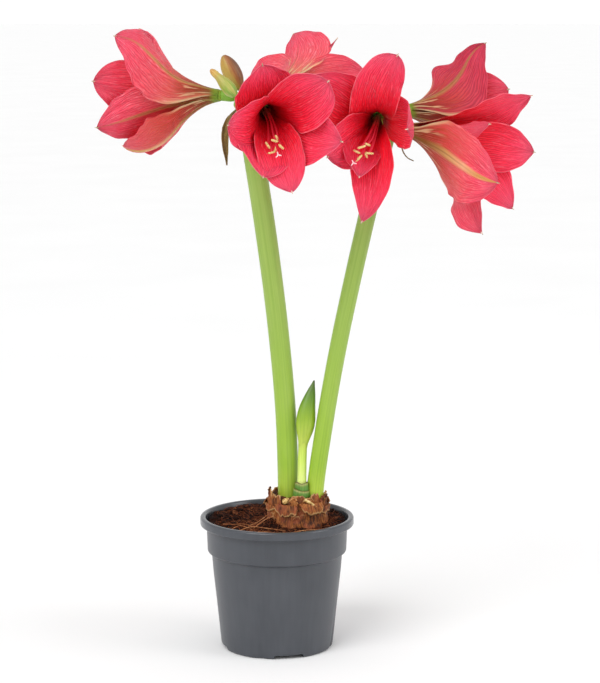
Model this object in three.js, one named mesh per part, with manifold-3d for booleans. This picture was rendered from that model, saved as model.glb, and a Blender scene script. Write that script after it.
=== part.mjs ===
// Amaryllis in a grey nursery pot: a bulb with two flowering scapes, six open blooms, two small
// buds and a young bud scape.  Millimetres, +Z up, the origin under the middle of the pot.
import * as THREE from 'three';
import { mergeVertices } from 'three/addons/utils/BufferGeometryUtils.js';
import Module from 'manifold-3d';

const wasm = await Module();
wasm.setup();

// ---- driving dimensions -------------------------------------------------------------------
const SEAT_GAP = 0.3;            // clearance between pieces that rest on each other

const POT_RIM_RADIUS = 65;
const POT_COLLAR_RADIUS = 59.6;
const POT_SHOULDER_RADIUS = 55.4;
const POT_BASE_RADIUS = 47.2;
const POT_HEIGHT = 112.5;
const POT_LIP_Z = 105;           // underside of the rolled rim
const POT_COLLAR_Z = 83;         // foot of the collar under the rim
const POT_WALL = 1.8;
const POT_FLOOR = 2.5;
const POT_FOOT = 3.5;            // height of the feet that lift the floor
const POT_PAD_RADIUS = 12;       // flat pad under the middle of the floor
const POT_FOOT_RING = 5;         // width of the ring that the feet are cut from
const POT_SHOULDER_Z = POT_COLLAR_Z - 2.2;
const POT_SIDES = 32;
const FOOT_NOTCH_WIDTH = 25;
const FOOT_NOTCHES = 4;
const FOOT_NOTCH_TURN = -77;     // degrees from +X to the first notch, which looks forwards
const DRAIN_HOLES = 5;
const DRAIN_RADIUS = 4.5;
const DRAIN_RING = 28;           // the drain holes lie on a circle of this radius

const SOIL_Z = 106.3;
const SOIL_LUMPS = 1.2;

const BULB = new THREE.Vector3(17.5, -5, 0);    // axis of the bulb, right of the pot's axis
const BULB_OVAL = [1.06, 0.95];                 // widened along X, narrowed along Y
const BULB_NECK_RADIUS = 23;
const BULB_TOP = 134;
const BULB_ROOT_Z = 42;
const BULB_SIDES = 20;
const BULB_SCALE_THICKNESS = 1.1;
const ROOT_Z = 106;                             // floor of the holes that the scapes stand in

// Papery scales round the neck: the angles that one spans, its foot and top edge, how far it
// stands off the neck and how far its edge curls out.
const BULB_SCALES = [
  { from: 150, to: 290, foot: 109, top: 134, out: 0.7, curl: -0.3 },
  { from: 250, to: 372, foot: 109, top: 126, out: 1.5, curl: 0.8 },
  { from: 15, to: 165, foot: 109, top: 131, out: 0.9, curl: 0 },
  { from: 205, to: 300, foot: 108.6, top: 119, out: 2.2, curl: 1 },
];

const SCAPE_LEFT_RADIUS = 8.7;
const SCAPE_RIGHT_RADIUS = 7.2;
const SCAPE_YOUNG_RADIUS = 3.8;
const SCAPE_LEFT_FOOT = [9.5, -1];
const SCAPE_RIGHT_FOOT = [32, -12];
const SCAPE_YOUNG_FOOT = [21, -15.5];
const UMBEL_LEFT = new THREE.Vector3(-25, -8, 459);
const UMBEL_RIGHT = new THREE.Vector3(92.5, 0, 444);

// The scapes stand upright in the bulb and lean once they are above its neck.
const rootedAt = ([x, y]) => [[x, y, ROOT_Z + SEAT_GAP], [x, y, BULB_TOP]];
const SCAPE_LEFT_PATH = [
  ...rootedAt(SCAPE_LEFT_FOOT), [7.5, -3, 200], [1, -5, 275], [-9, -6, 355], [-24, -8, 454],
];
const SCAPE_RIGHT_PATH = [
  ...rootedAt(SCAPE_RIGHT_FOOT), [40, -11, 193], [50.5, -9, 254], [63, -6, 314], [77, -3, 376],
  [91.5, 0, 438],
];
const SCAPE_YOUNG_PATH = [...rootedAt(SCAPE_YOUNG_FOOT), [21.2, -12.5, 155], [22, -10, 181]];

// Closed buds: foot, tip and the outline as radius by share of the length.
const BUD_YOUNG = {
  base: new THREE.Vector3(21.6, -10.3, 175), tip: new THREE.Vector3(30.6, -8, 228), sides: 10,
  outline: [[0, 0], [3.8, 0.02], [5.4, 0.2], [7.4, 0.42], [6.6, 0.65], [3.2, 0.88], [0, 1]],
};
const BUD_LARGE = {
  base: new THREE.Vector3(-29, 4, 470.5), tip: new THREE.Vector3(-43.6, 2, 499), sides: 10,
  outline: [[0, 0], [2.8, 0.01], [6.4, 0.25], [7.6, 0.5], [7, 0.75], [4.2, 0.94], [0, 1]],
};
const BUD_SMALL = {
  base: new THREE.Vector3(-33, -18, 466), tip: new THREE.Vector3(-53.5, -17, 488), sides: 9,
  outline: [
    [0, 0], [2.4, 0.02], [5.3, 0.2], [5.5, 0.4], [4.2, 0.62], [3, 0.78], [2.7, 0.94], [0, 1],
  ],
};
const BUD_STALK_RADIUS = 2.6;
const BUD_CLEARANCE = 0.4;

// Cut leaf bases round the foot of the young scape: angles in degrees.
const LEAF_STUB = { from: 160, step: 28, radius: 4.2, foot: 112, top: 143, thickness: 1.5 };

// Withered spathe leaves: where each hangs, half its width along it, and how its width turns
// from its seat on the scape to its tip, in degrees from +X.
const SPATHE_LEFT = {
  path: [[-31.9, -12.8, 455.5], [-37.5, -17.5, 448.5], [-41, -18, 438], [-42, -18, 424], [-40.5, -18, 410]],
  halves: [1.2, 3.1, 3.3, 2.7, 0.7], turn: [-55, 45], across: 2,
};
const SPATHE_RIGHT = {
  path: [[95.9, -5.2, 432], [101.8, -8, 427.5], [104.5, -9, 420], [108, -9, 415.5], [113.3, -9, 412.8]],
  halves: [1, 0.9, 0.8, 0.8, 0.7], turn: [50, 20], across: 1,
};
const SPATHE_THICKNESS = 0.9;
const SPATHE_STEPS = 8;

const PEDICEL_RADIUS = 2.9;
const OVARY_LENGTH = 15;
const OVARY_RADIUS = 4.8;
const CUP_DEPTH = 2;             // floor of a bloom's tube below the start of its tepals
const TEPAL_THICKNESS = 1;
const TIP_HALF = 0.9;            // half the width that a tepal keeps at its tip
const TEPAL_STEPS = [7, 4];      // strips along a tepal and across it
const EAR_REACH = 0.08;          // share of a tepal's length that a lobe on its margin takes up
const FILAMENT_RADIUS = 0.65;

const FACE_TOLERANCE = 0.02;     // how far the faces of a joined body may be simplified
const STAMEN_TOLERANCE = 0.05;
const BLOOM_TOLERANCE = 0.2;
const FINE = 8;                  // steps along a tepal's centre line for each strip of its blade

// A tepal's centre line leaves the tube at the angles in `heading`, in degrees off the bloom's
// axis at even steps from the base to the tip; `cup` is the half angle that the blade wraps. `lop`
// makes one side wider than the other, and `ear` is the place and size of a lobe on the narrow side.
const SEPAL = {
  length: 104, half: 24, ring: 4.7, claw: 0.17, widest: 0.6, point: [2.1, 0.85], keel: 1.3,
  wave: 1.5, waves: 1.6, twist: 0, bend: 0, lop: 0, ear: [0.5, 0],
  heading: [8, 16, 30, 46, 60], cup: [62, 46, 34, 24, 30],
};
const PETAL = {
  length: 102, half: 23, ring: 3.7, claw: 0.15, widest: 0.62, point: [2.4, 0.75], keel: 0.9,
  wave: 2.2, waves: 1.9, twist: 0, bend: 0, lop: 0, ear: [0.5, 0],
  heading: [5, 13, 27, 44, 58], cup: [60, 64, 58, 34, 14],
};
const sepal = (turn, change) => ({ ...SEPAL, turn, ...change });
const petal = (turn, change) => ({ ...PETAL, turn, ...change });

// Each bloom: where its tube begins, where its mouth looks (yaw from the front towards +X, pitch
// up), and its three sepals and three petals by their turn about the axis from the top. `lean` is
// how far its anthers and its stigma lean to the viewer's left, and how far the stigma sinks.
const BLOOMS = [
  { name: 'left', at: [-47, 2, 466], yaw: -94, pitch: 2, tepals: [
    sepal(322, {
      length: 103, half: 29, heading: [8, 18, 54, 54, 6], cup: [62, 46, 38, 30, 26], twist: -9,
      widest: 0.52, point: [2.4, 0.72], lop: -0.1,
    }),
    petal(284, { length: 106, half: 25, heading: [5, 10, 20, 30, 28] }),
    sepal(236, { length: 106, half: 26, heading: [8, 16, 32, 36, 26], cup: [62, 46, 30, 24, 24] }),
    petal(200, {
      length: 95, half: 29, heading: [14, 40, 58, 26, -30], cup: [60, 60, 60, 56, 40],
      widest: 0.66, point: [3, 0.65],
    }),
    sepal(152, { length: 92, heading: [14, 38, 60, 30, -10] }),
    petal(34, { length: 97, half: 24, heading: [8, 18, 58, 58, 34], point: [1.8, 1] }),
  ] },
  { name: 'front_left', at: [-11, -44, 460], yaw: 14, pitch: -14, lean: [5, 5, 0], tepals: [
    sepal(16, { length: 74, half: 26, heading: [8, 18, 40, 62, 80], point: [3, 0.7], lop: 0.1 }),
    petal(80, { length: 91, half: 25, heading: [5, 14, 28, 42, 50] }),
    sepal(155, { length: 88, half: 26, heading: [8, 14, 22, 28, 36], lop: -0.2, point: [2.8, 0.65] }),
    petal(189, { length: 99, half: 21, heading: [5, 10, 22, 42, 52], lop: -0.14 }),
    sepal(262, { length: 92, half: 27, heading: [8, 14, 26, 42, 52], twist: -16, lop: -0.2 }),
    petal(321, { length: 95, half: 25, heading: [5, 14, 32, 52, 62], twist: -18, point: [3, 0.65] }),
  ] },
  { name: 'back', at: [5, 28, 471], yaw: 156, pitch: 12, tepals: [
    sepal(341, {
      length: 98, half: 25, heading: [8, 10, 16, 26, 30], cup: [62, 46, 24, 14, 10], bend: -30,
      lop: 0.2, point: [1.7, 0.8],
    }),
    petal(42, { length: 80, half: 9, heading: [5, 8, 16, 36, 96], widest: 0.45, point: [1.2, 1.3] }),
    sepal(98, { length: 88, half: 21, heading: [8, 14, 30, 46, 50] }),
    petal(160, {}),
    sepal(220, {}),
    petal(258, { length: 114, half: 22, heading: [5, 18, 42, 60, 66] }),
  ] },
  { name: 'front_right', at: [83, -16, 451], yaw: -5, pitch: -12, lean: [8, 15, 2], tepals: [
    petal(354, {
      length: 93, half: 22, heading: [5, 20, 50, 72, 96], bend: -22, widest: 0.46,
      point: [4, 0.6], lop: 0.3, twist: 12,
    }),
    sepal(277, { length: 66, heading: [8, 20, 46, 40, -60], lop: 0.12 }),
    petal(198, {
      length: 114, half: 20, heading: [5, 12, 34, 60, 60], bend: -44, point: [1.4, 0.85],
      lop: -0.1,
    }),
    sepal(160, { length: 86, half: 17, heading: [8, 12, 18, 24, 25], lop: -0.3 }),
    petal(112, { length: 85, heading: [5, 14, 26, 36, 40] }),
    sepal(46, { length: 98, half: 26, heading: [8, 24, 46, 64, 80], twist: 10 }),
  ] },
  { name: 'upper_right', at: [107, 3, 453.5], yaw: 122, pitch: 4, tepals: [
    sepal(20, {
      length: 92, half: 29, heading: [4, 12, 42, 72, 20], cup: [62, 40, 14, 8, 8], twist: 10,
      widest: 0.5, point: [1.4, 0.9], lop: 0.28, ear: [0.54, 0.65],
    }),
    petal(72, { length: 88, half: 25, heading: [5, 12, 22, 36, 40] }),
    sepal(140, { length: 98, heading: [18, 26, 28, 34, 30] }),
    petal(195, { length: 104, heading: [22, 28, 28, 40, 54] }),
    sepal(255, {}),
    petal(318, { length: 96 }),
  ] },
  { name: 'lower_right', at: [105, -10, 439.5], yaw: 64, pitch: -11, lean: [0, 0, 8], tepals: [
    petal(40, { length: 84, half: 12, heading: [5, 9, 15, 26, 34] }),
    sepal(120, {
      length: 108, half: 32, heading: [8, 15, 28, 28, 2], cup: [62, 34, 12, 9, 18], twist: -36,
      widest: 0.46, point: [2.2, 0.7], lop: 0.14,
    }),
    petal(174, {
      length: 112, half: 31, heading: [6, 18, 44, 58, 42], cup: [62, 40, 12, 6, 6], twist: -84,
      lop: 0.3, widest: 0.5, point: [1.8, 1],
    }),
    sepal(218, { length: 113 }),
    petal(268, { length: 113, point: [1.7, 0.8] }),
    sepal(322, { length: 106, half: 25, heading: [14, 20, 30, 44, 40] }),
  ] },
];

const COLOURS = {
  pot: 0x5a5d62, soil: 0x3b2116, bulb: 0x8a5a36, stem: 0x9ccb52, bloom: 0xe8435a,
  stamen: 0xd8485c, budLarge: 0x8c7a3e, budSmall: 0xb3b558, spathe: 0x6b5630,
};

// ---- geometry helpers ---------------------------------------------------------------------
const UP = new THREE.Vector3(0, 0, 1);
const degrees = (angle) => THREE.MathUtils.degToRad(angle);
const vector = (p) => new THREE.Vector3(...p);

// A value between even knots, for t from 0 to 1.
function between(knots, t) {
  const place = Math.min(Math.max(t, 0), 1) * (knots.length - 1);
  const first = Math.min(Math.floor(place), knots.length - 2);
  return THREE.MathUtils.lerp(knots[first], knots[first + 1], place - first);
}

// A closed three.js geometry as a solid that can be joined and cut.
function solid(geometry) {
  const bare = geometry.index ? geometry.clone() : mergeVertices(geometry.clone(), 1e-4);
  bare.deleteAttribute('normal');
  bare.deleteAttribute('uv');
  const merged = mergeVertices(bare, 1e-4);
  const index = merged.index.array;
  const kept = [];
  for (let i = 0; i < index.length; i += 3) {
    const [a, b, c] = [index[i], index[i + 1], index[i + 2]];
    if (a !== b && b !== c && c !== a) kept.push(a, b, c);
  }
  return new wasm.Manifold(new wasm.Mesh({
    numProp: 3,
    vertProperties: new Float32Array(merged.attributes.position.array),
    triVerts: new Uint32Array(kept),
  }));
}

const join = (solids) => solids.reduce((whole, piece) => whole.add(piece));

// The outer skin of a solid as a geometry: pockets closed in between fused blades are filled.
function outerShell(body) {
  const { vertProperties, triVerts } = body.getMesh();
  const vertexCount = vertProperties.length / 3;
  const parent = Array.from({ length: vertexCount }, (_, i) => i);
  const root = (i) => {
    while (parent[i] !== i) i = parent[i] = parent[parent[i]];
    return i;
  };
  for (let i = 0; i < triVerts.length; i += 3) {
    parent[root(triVerts[i])] = root(triVerts[i + 1]);
    parent[root(triVerts[i + 1])] = root(triVerts[i + 2]);
  }
  const corner = (i) => new THREE.Vector3().fromArray(vertProperties, 3 * i);
  const volumes = new Map();
  for (let i = 0; i < triVerts.length; i += 3) {
    const [a, b, c] = [corner(triVerts[i]), corner(triVerts[i + 1]), corner(triVerts[i + 2])];
    const shell = root(triVerts[i]);
    volumes.set(shell, (volumes.get(shell) ?? 0) + a.dot(b.cross(c)) / 6);
  }
  const main = [...volumes].sort((a, b) => b[1] - a[1])[0][0];
  const faces = [];
  for (let i = 0; i < triVerts.length; i += 3) {
    if (root(triVerts[i]) === main) faces.push(triVerts[i], triVerts[i + 1], triVerts[i + 2]);
  }
  const geometry = new THREE.BufferGeometry();
  geometry.setAttribute('position', new THREE.BufferAttribute(new Float32Array(vertProperties), 3));
  geometry.setIndex(faces);
  return geometry;
}

// Whether every edge still has two faces once points within a micrometre are one.
function isClosed(geometry) {
  const index = mergeVertices(geometry.clone(), 1e-3).index.array;
  const edges = new Map();
  for (let i = 0; i < index.length; i += 3) {
    const corners = [index[i], index[i + 1], index[i + 2]];
    if (new Set(corners).size < 3) continue;
    corners.forEach((from, n) => {
      const to = corners[(n + 1) % 3];
      const edge = [Math.min(from, to), Math.max(from, to)].join();
      edges.set(edge, (edges.get(edge) ?? 0) + 1);
    });
  }
  return [...edges.values()].every((faces) => faces === 2);
}

// Simplifies a joined body to about the tolerance, trying others near it where faces touch.
function skin(body, tolerance) {
  const original = body.asOriginal();
  for (const share of [1, 0.8, 1.2, 0.6, 1.5, 0.4, 2]) {
    const geometry = outerShell(original.simplify(tolerance * share));
    if (isClosed(geometry)) return geometry;
  }
  throw new Error('a joined body stays open along an edge');
}

function mesh(name, body, color, roughness = 0.6, tolerance = FACE_TOLERANCE) {
  const geometry = skin(body, tolerance);
  geometry.computeVertexNormals();
  const piece = new THREE.Mesh(geometry, new THREE.MeshStandardMaterial({ color, roughness }));
  piece.name = name;
  return piece;
}

// A round tube along a smooth path through the given points.
function tube(points, radius, sides, steps) {
  const section = new THREE.Shape();
  for (let i = 0; i < sides; i += 1) {
    const angle = (2 * Math.PI * i) / sides;
    const [x, y] = [radius * Math.cos(angle), radius * Math.sin(angle)];
    if (i === 0) section.moveTo(x, y);
    else section.lineTo(x, y);
  }
  section.closePath();
  const extrudePath = new THREE.CatmullRomCurve3(points);
  return solid(new THREE.ExtrudeGeometry(section, { steps, extrudePath, bevelEnabled: false }));
}

// A turned body: profile points [radius, height] along `direction` from `base`.
function turned(profile, sides, base, direction = UP) {
  const points = profile.map(([radius, height]) => new THREE.Vector2(radius, height));
  const geometry = new THREE.LatheGeometry(points, sides);
  const latheAxis = new THREE.Vector3(0, 1, 0);
  geometry.applyQuaternion(
    new THREE.Quaternion().setFromUnitVectors(latheAxis, direction.clone().normalize()),
  );
  geometry.translate(base.x, base.y, base.z);
  return solid(geometry);
}

// A thin blade from a grid of points on its middle surface: two alike faces and a rim.
function blade(grid, thickness) {
  const rows = grid.length;
  const columns = grid[0].length;
  const { clamp } = THREE.MathUtils;
  const at = (i, j) => grid[clamp(i, 0, rows - 1)][clamp(j, 0, columns - 1)];
  const positions = [];
  for (const side of [1, -1]) {
    for (let i = 0; i < rows; i += 1) {
      for (let j = 0; j < columns; j += 1) {
        const along = at(i + 1, j).clone().sub(at(i - 1, j));
        const across = at(i, j + 1).clone().sub(at(i, j - 1));
        const normal = along.cross(across).normalize();
        positions.push(...at(i, j).clone().addScaledVector(normal, (side * thickness) / 2).toArray());
      }
    }
  }
  const top = (i, j) => i * columns + j;
  const under = (i, j) => rows * columns + top(i, j);
  const index = [];
  for (let i = 0; i + 1 < rows; i += 1) {
    for (let j = 0; j + 1 < columns; j += 1) {
      index.push(top(i, j), top(i + 1, j), top(i + 1, j + 1));
      index.push(top(i, j), top(i + 1, j + 1), top(i, j + 1));
      index.push(under(i, j), under(i + 1, j + 1), under(i + 1, j));
      index.push(under(i, j), under(i, j + 1), under(i + 1, j + 1));
    }
  }
  const rim = [];
  for (let i = 0; i < rows; i += 1) rim.push([i, 0]);
  for (let j = 1; j < columns; j += 1) rim.push([rows - 1, j]);
  for (let i = rows - 2; i >= 0; i -= 1) rim.push([i, columns - 1]);
  for (let j = columns - 2; j > 0; j -= 1) rim.push([0, j]);
  rim.forEach(([i, j], n) => {
    const [k, l] = rim[(n + 1) % rim.length];
    index.push(top(i, j), under(i, j), under(k, l), top(i, j), under(k, l), top(k, l));
  });
  const geometry = new THREE.BufferGeometry();
  geometry.setAttribute('position', new THREE.Float32BufferAttribute(positions, 3));
  geometry.setIndex(index);
  return solid(geometry);
}

// A smooth, repeatable unevenness between -1 and 1.
const uneven = (x, y) => (
  Math.sin(x * 0.31 + 1.3) * Math.cos(y * 0.27 - 0.4) + Math.sin(x * 0.13 - y * 0.21 + 2.1)
) / 2;

// ---- pot and soil -------------------------------------------------------------------------
function potSolid() {
  const floorTop = POT_FOOT + POT_FLOOR;
  const inside = (radius) => radius - POT_WALL;
  const footInside = POT_BASE_RADIUS - POT_FOOT_RING;
  const profile = [
    [0, 0], [POT_PAD_RADIUS, 0], [POT_PAD_RADIUS, POT_FOOT], [footInside, POT_FOOT],
    [footInside, 0], [POT_BASE_RADIUS - 1.5, 0], [POT_BASE_RADIUS, 2.5],
    [POT_SHOULDER_RADIUS, POT_SHOULDER_Z], [POT_COLLAR_RADIUS - 0.8, POT_COLLAR_Z],
    [POT_COLLAR_RADIUS, POT_LIP_Z], [POT_RIM_RADIUS - 1, POT_LIP_Z + 0.4],
    [POT_RIM_RADIUS, POT_LIP_Z + 2], [POT_RIM_RADIUS, POT_HEIGHT - 2],
    [POT_RIM_RADIUS - 1.2, POT_HEIGHT], [POT_RIM_RADIUS - 3.4, POT_HEIGHT],
    [POT_RIM_RADIUS - 4.4, POT_HEIGHT - 1.5], [inside(POT_COLLAR_RADIUS), POT_LIP_Z - 1],
    [inside(POT_COLLAR_RADIUS - 0.8), POT_COLLAR_Z], [inside(POT_SHOULDER_RADIUS), POT_SHOULDER_Z],
    [inside(POT_BASE_RADIUS), floorTop], [0, floorTop],
  ];
  let pot = turned(profile, POT_SIDES, new THREE.Vector3());
  for (let i = 0; i < FOOT_NOTCHES; i += 1) {
    const angle = degrees(FOOT_NOTCH_TURN + (360 * i) / FOOT_NOTCHES);
    const notch = new THREE.BoxGeometry(4 * POT_FOOT_RING, FOOT_NOTCH_WIDTH, 2 * POT_FOOT);
    notch.rotateZ(angle);
    notch.translate(POT_BASE_RADIUS * Math.cos(angle), POT_BASE_RADIUS * Math.sin(angle), 0);
    pot = pot.subtract(solid(notch));
  }
  for (let i = 0; i < DRAIN_HOLES; i += 1) {
    const angle = (2 * Math.PI * i) / DRAIN_HOLES;
    const hole = new THREE.CylinderGeometry(DRAIN_RADIUS, DRAIN_RADIUS, 4 * POT_FLOOR, 8);
    hole.rotateX(Math.PI / 2);
    hole.translate(DRAIN_RING * Math.cos(angle), DRAIN_RING * Math.sin(angle), floorTop);
    pot = pot.subtract(solid(hole));
  }
  return pot;
}

function soilSolid() {
  const side = (radius) => radius - POT_WALL - SEAT_GAP;
  const under = POT_FOOT + POT_FLOOR + SEAT_GAP;
  const profile = [
    [0, under], [side(POT_BASE_RADIUS), under], [side(POT_SHOULDER_RADIUS), POT_SHOULDER_Z + 0.1],
    [side(POT_COLLAR_RADIUS - 0.8), POT_COLLAR_Z + 0.1], [side(POT_COLLAR_RADIUS), POT_LIP_Z - 1],
    [50, SOIL_Z], [41, SOIL_Z], [32, SOIL_Z], [0, SOIL_Z],
  ].map(([radius, height]) => new THREE.Vector2(radius, height));
  const geometry = new THREE.LatheGeometry(profile, POT_SIDES);
  geometry.rotateX(Math.PI / 2);
  const points = geometry.attributes.position;
  for (let i = 0; i < points.count; i += 1) {
    if (points.getZ(i) < SOIL_Z - 0.1) continue;
    points.setZ(i, SOIL_Z + SOIL_LUMPS * uneven(3 * points.getX(i), 3 * points.getY(i)));
  }
  return solid(geometry);
}

// ---- bulb ---------------------------------------------------------------------------------
// The bulb's outline, made larger by `clear` to cut the hole that it stands in.
function bulbBody(clear) {
  const neck = BULB_NECK_RADIUS;
  const profile = [
    [0, BULB_ROOT_Z - clear], [12, BULB_ROOT_Z - clear], [23 + clear, 50], [29.5 + clear, 66],
    [30 + clear, 82], [neck + 3 + clear, 99], [neck + 2 + clear, 108], [neck + 1 + clear, 120],
    [neck + 0.4 + clear, BULB_TOP - 4], [neck - 1.6 + clear, BULB_TOP], [neck - 4, BULB_TOP - 1],
    [neck - 8, BULB_TOP - 5], [0, BULB_TOP - 6],
  ];
  const body = turned(profile, BULB_SIDES, new THREE.Vector3());
  return body.scale([BULB_OVAL[0], BULB_OVAL[1], 1]).translate(BULB.toArray());
}

// One papery scale lying round the neck between two angles, its top edge uneven.
function bulbScale({ from, to, foot, top, out, curl }) {
  const grid = [];
  for (let i = 0; i <= 2; i += 1) {
    const rise = i / 2;
    grid.push(Array.from({ length: 8 }, (_, j) => {
      const angle = degrees(THREE.MathUtils.lerp(from, to, j / 7));
      const edge = top + 2.2 * Math.sin(5 * angle + out) - 3 * Math.abs(j / 3.5 - 1) ** 3;
      const radius = BULB_NECK_RADIUS + out + curl * rise * rise;
      return new THREE.Vector3(
        BULB.x + BULB_OVAL[0] * radius * Math.cos(angle),
        BULB.y + BULB_OVAL[1] * radius * Math.sin(angle),
        THREE.MathUtils.lerp(foot, edge, rise),
      );
    }));
  }
  return blade(grid, BULB_SCALE_THICKNESS);
}

// The holes in the crown that the scapes stand in.
function scapeHole([x, y], radius) {
  return turned([[0, 0], [radius, 0], [radius, 60], [0, 60]], 12, new THREE.Vector3(x, y, ROOT_Z));
}

function bulbSolid() {
  const scales = BULB_SCALES.map(bulbScale);
  let bulb = join([bulbBody(0), ...scales]);
  bulb = bulb.subtract(scapeHole(SCAPE_LEFT_FOOT, SCAPE_LEFT_RADIUS + SEAT_GAP));
  bulb = bulb.subtract(scapeHole(SCAPE_RIGHT_FOOT, SCAPE_RIGHT_RADIUS + SEAT_GAP));
  const [x, y] = SCAPE_YOUNG_FOOT;
  return bulb.subtract(scapeHole([x - 0.8, y - 0.7], 2 * SCAPE_YOUNG_RADIUS));
}

// ---- blooms -------------------------------------------------------------------------------
// The axes of a bloom: forward out of its mouth, up, and across to the side that is on the
// left of someone who looks into the mouth.
function bloomFrame({ at, yaw, pitch }) {
  const level = Math.cos(degrees(pitch));
  const forward = new THREE.Vector3(
    Math.sin(degrees(yaw)) * level, -Math.cos(degrees(yaw)) * level, Math.sin(degrees(pitch)),
  );
  const up = UP.clone().addScaledVector(forward, -forward.z).normalize();
  return { base: vector(at), forward, up, side: forward.clone().cross(up) };
}

// Half the width of a tepal as a share of its greatest, from the claw to the pointed tip.
function outline(s, { claw, widest, point }) {
  const grow = Math.min(s / widest, 1);
  const fall = Math.max((s - widest) / (1 - widest), 0);
  const swell = (grow * grow * (3 - 2 * grow)) ** 1.15;
  return (claw + (1 - claw) * swell) * (1 - fall ** point[0]) ** point[1];
}

// The unit vector `angle` radians round from one of two square axes towards the other.
const turnBetween = (from, towards, angle) => (
  from.clone().multiplyScalar(Math.cos(angle)).addScaledVector(towards, Math.sin(angle))
);

// The middle surface of a tepal: its centre line, with a cupped and waved strip across it.
function tepalGrid(frame, tepal, along, across) {
  const quarter = Math.PI / 2;
  const turn = degrees(tepal.turn);
  const out = turnBetween(frame.up, frame.side, turn);
  const tangent = turnBetween(frame.up, frame.side, turn + quarter);
  const point = frame.base.clone().addScaledVector(out, tepal.ring);
  const grid = [];
  for (let i = 0; i <= along * FINE; i += 1) {
    const s = i / (along * FINE);
    const heading = degrees(between(tepal.heading, s));
    const bend = degrees(tepal.bend) * s * s;
    const straight = turnBetween(frame.forward, out, heading);
    const run = turnBetween(straight, tangent, bend);
    if (i > 0) point.addScaledVector(run, tepal.length / (along * FINE));
    if (i % FINE) continue;
    const flat = turnBetween(straight, tangent, bend + quarter);
    const inward = turnBetween(frame.forward, out, heading - quarter);
    const twist = degrees(tepal.twist) * s ** 1.5;
    const width = turnBetween(flat, inward, twist);
    const lift = turnBetween(flat, inward, twist + quarter);
    const widest = tepal.half * outline(s, tepal);
    const cup = degrees(between(tepal.cup, s));
    const free = THREE.MathUtils.clamp((s - 0.15) / 0.35, 0, 1);
    grid.push(Array.from({ length: across + 1 }, (_, j) => {
      const t = (2 * j) / across - 1;
      const lop = Math.sign(t) * tepal.lop * Math.min(s / 0.3, 1);
      const ear = t < 0 ? tepal.ear[1] * Math.exp(-(((s - tepal.ear[0]) / EAR_REACH) ** 2)) * t * t : 0;
      const half = Math.max(widest * (1 + lop), TIP_HALF) * (1 + ear);
      const ripple = Math.sin(2 * Math.PI * tepal.waves * s + tepal.turn + (t > 0 ? 1.7 : 0));
      const keel = tepal.keel * Math.exp(-((t / 0.16) ** 2)) * Math.min(half / 12, 1) * (1 - s ** 3);
      const sway = tepal.wave * free * t * t * ripple * Math.min(half / 14, 1);
      const rise = ((1 - Math.cos(cup * t)) / cup) * half - keel + sway;
      const reach = (Math.sin(cup * t) / cup) * half;
      return point.clone().addScaledVector(width, reach).addScaledVector(lift, rise);
    }));
  }
  return grid;
}

// Six tepals joined into one tube, with a closed floor under them.
function bloomSolid(bloom) {
  const frame = bloomFrame(bloom);
  const floor = turned(
    [[0, -CUP_DEPTH], [4.3, -CUP_DEPTH], [5.5, 0], [6.1, 4.5], [4.1, 4.5], [3.2, 0], [0, 0]],
    12, frame.base, frame.forward,
  );
  const tepals = bloom.tepals.map((tepal) => tepalGrid(frame, tepal, ...TEPAL_STEPS));
  return join([floor, ...tepals.map((grid) => blade(grid, TEPAL_THICKNESS))]);
}

// Six filaments with their anthers and the longer style with its three-lobed stigma, rising
// from a small disc in the tube and sinking towards the lowest tepal.
function stamensSolid(bloom) {
  const frame = bloomFrame(bloom);
  const [antherLean, stigmaLean, stigmaSink] = bloom.lean ?? [0, 0, 0];
  const place = (ahead, drop, turn, radius, aside = 0) => frame.base.clone()
    .addScaledVector(frame.forward, ahead)
    .addScaledVector(frame.up, radius * Math.cos(turn) - drop)
    .addScaledVector(frame.side, radius * Math.sin(turn) + aside);
  const disc = [[0, SEAT_GAP], [2.3, SEAT_GAP], [2.3, 3], [0, 3.2]];
  const pieces = [turned(disc, 6, frame.base, frame.forward)];
  for (let i = 0; i < 6; i += 1) {
    const turn = degrees(60 * i + 30);
    const reach = 68 + 4 * Math.cos(2.4 * i);
    const tip = place(reach, 11.5, turn, 5, antherLean);
    const filament = [
      place(2, 0, turn, 1.8), place(34, 3, turn, 2.4, 0.15 * antherLean),
      place(56, 9, turn, 4.2, 0.6 * antherLean), tip,
    ];
    pieces.push(tube(filament, FILAMENT_RADIUS, 3, 3));
    const anther = new THREE.OctahedronGeometry(1);
    anther.scale(1.2, 1.2, 3.4);
    anther.rotateX(0.5 * i);
    anther.translate(...tip.toArray());
    pieces.push(solid(anther));
  }
  const end = place(82, 15 + stigmaSink, 0, 0, stigmaLean);
  const style = [
    place(2, 0, 0, 0), place(34, 3, 0, 0, 0.12 * stigmaLean),
    place(62, 11.5 + 0.5 * stigmaSink, 0, 0, 0.5 * stigmaLean), end,
  ];
  pieces.push(tube(style, FILAMENT_RADIUS, 3, 4));
  for (let i = 0; i < 3; i += 1) {
    const lobe = new THREE.OctahedronGeometry(1);
    lobe.scale(0.9, 0.9, 2.4);
    lobe.rotateY(degrees(70));
    lobe.rotateZ(degrees(120 * i + 20));
    lobe.translate(...end.toArray());
    pieces.push(solid(lobe));
  }
  return join(pieces);
}

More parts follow.
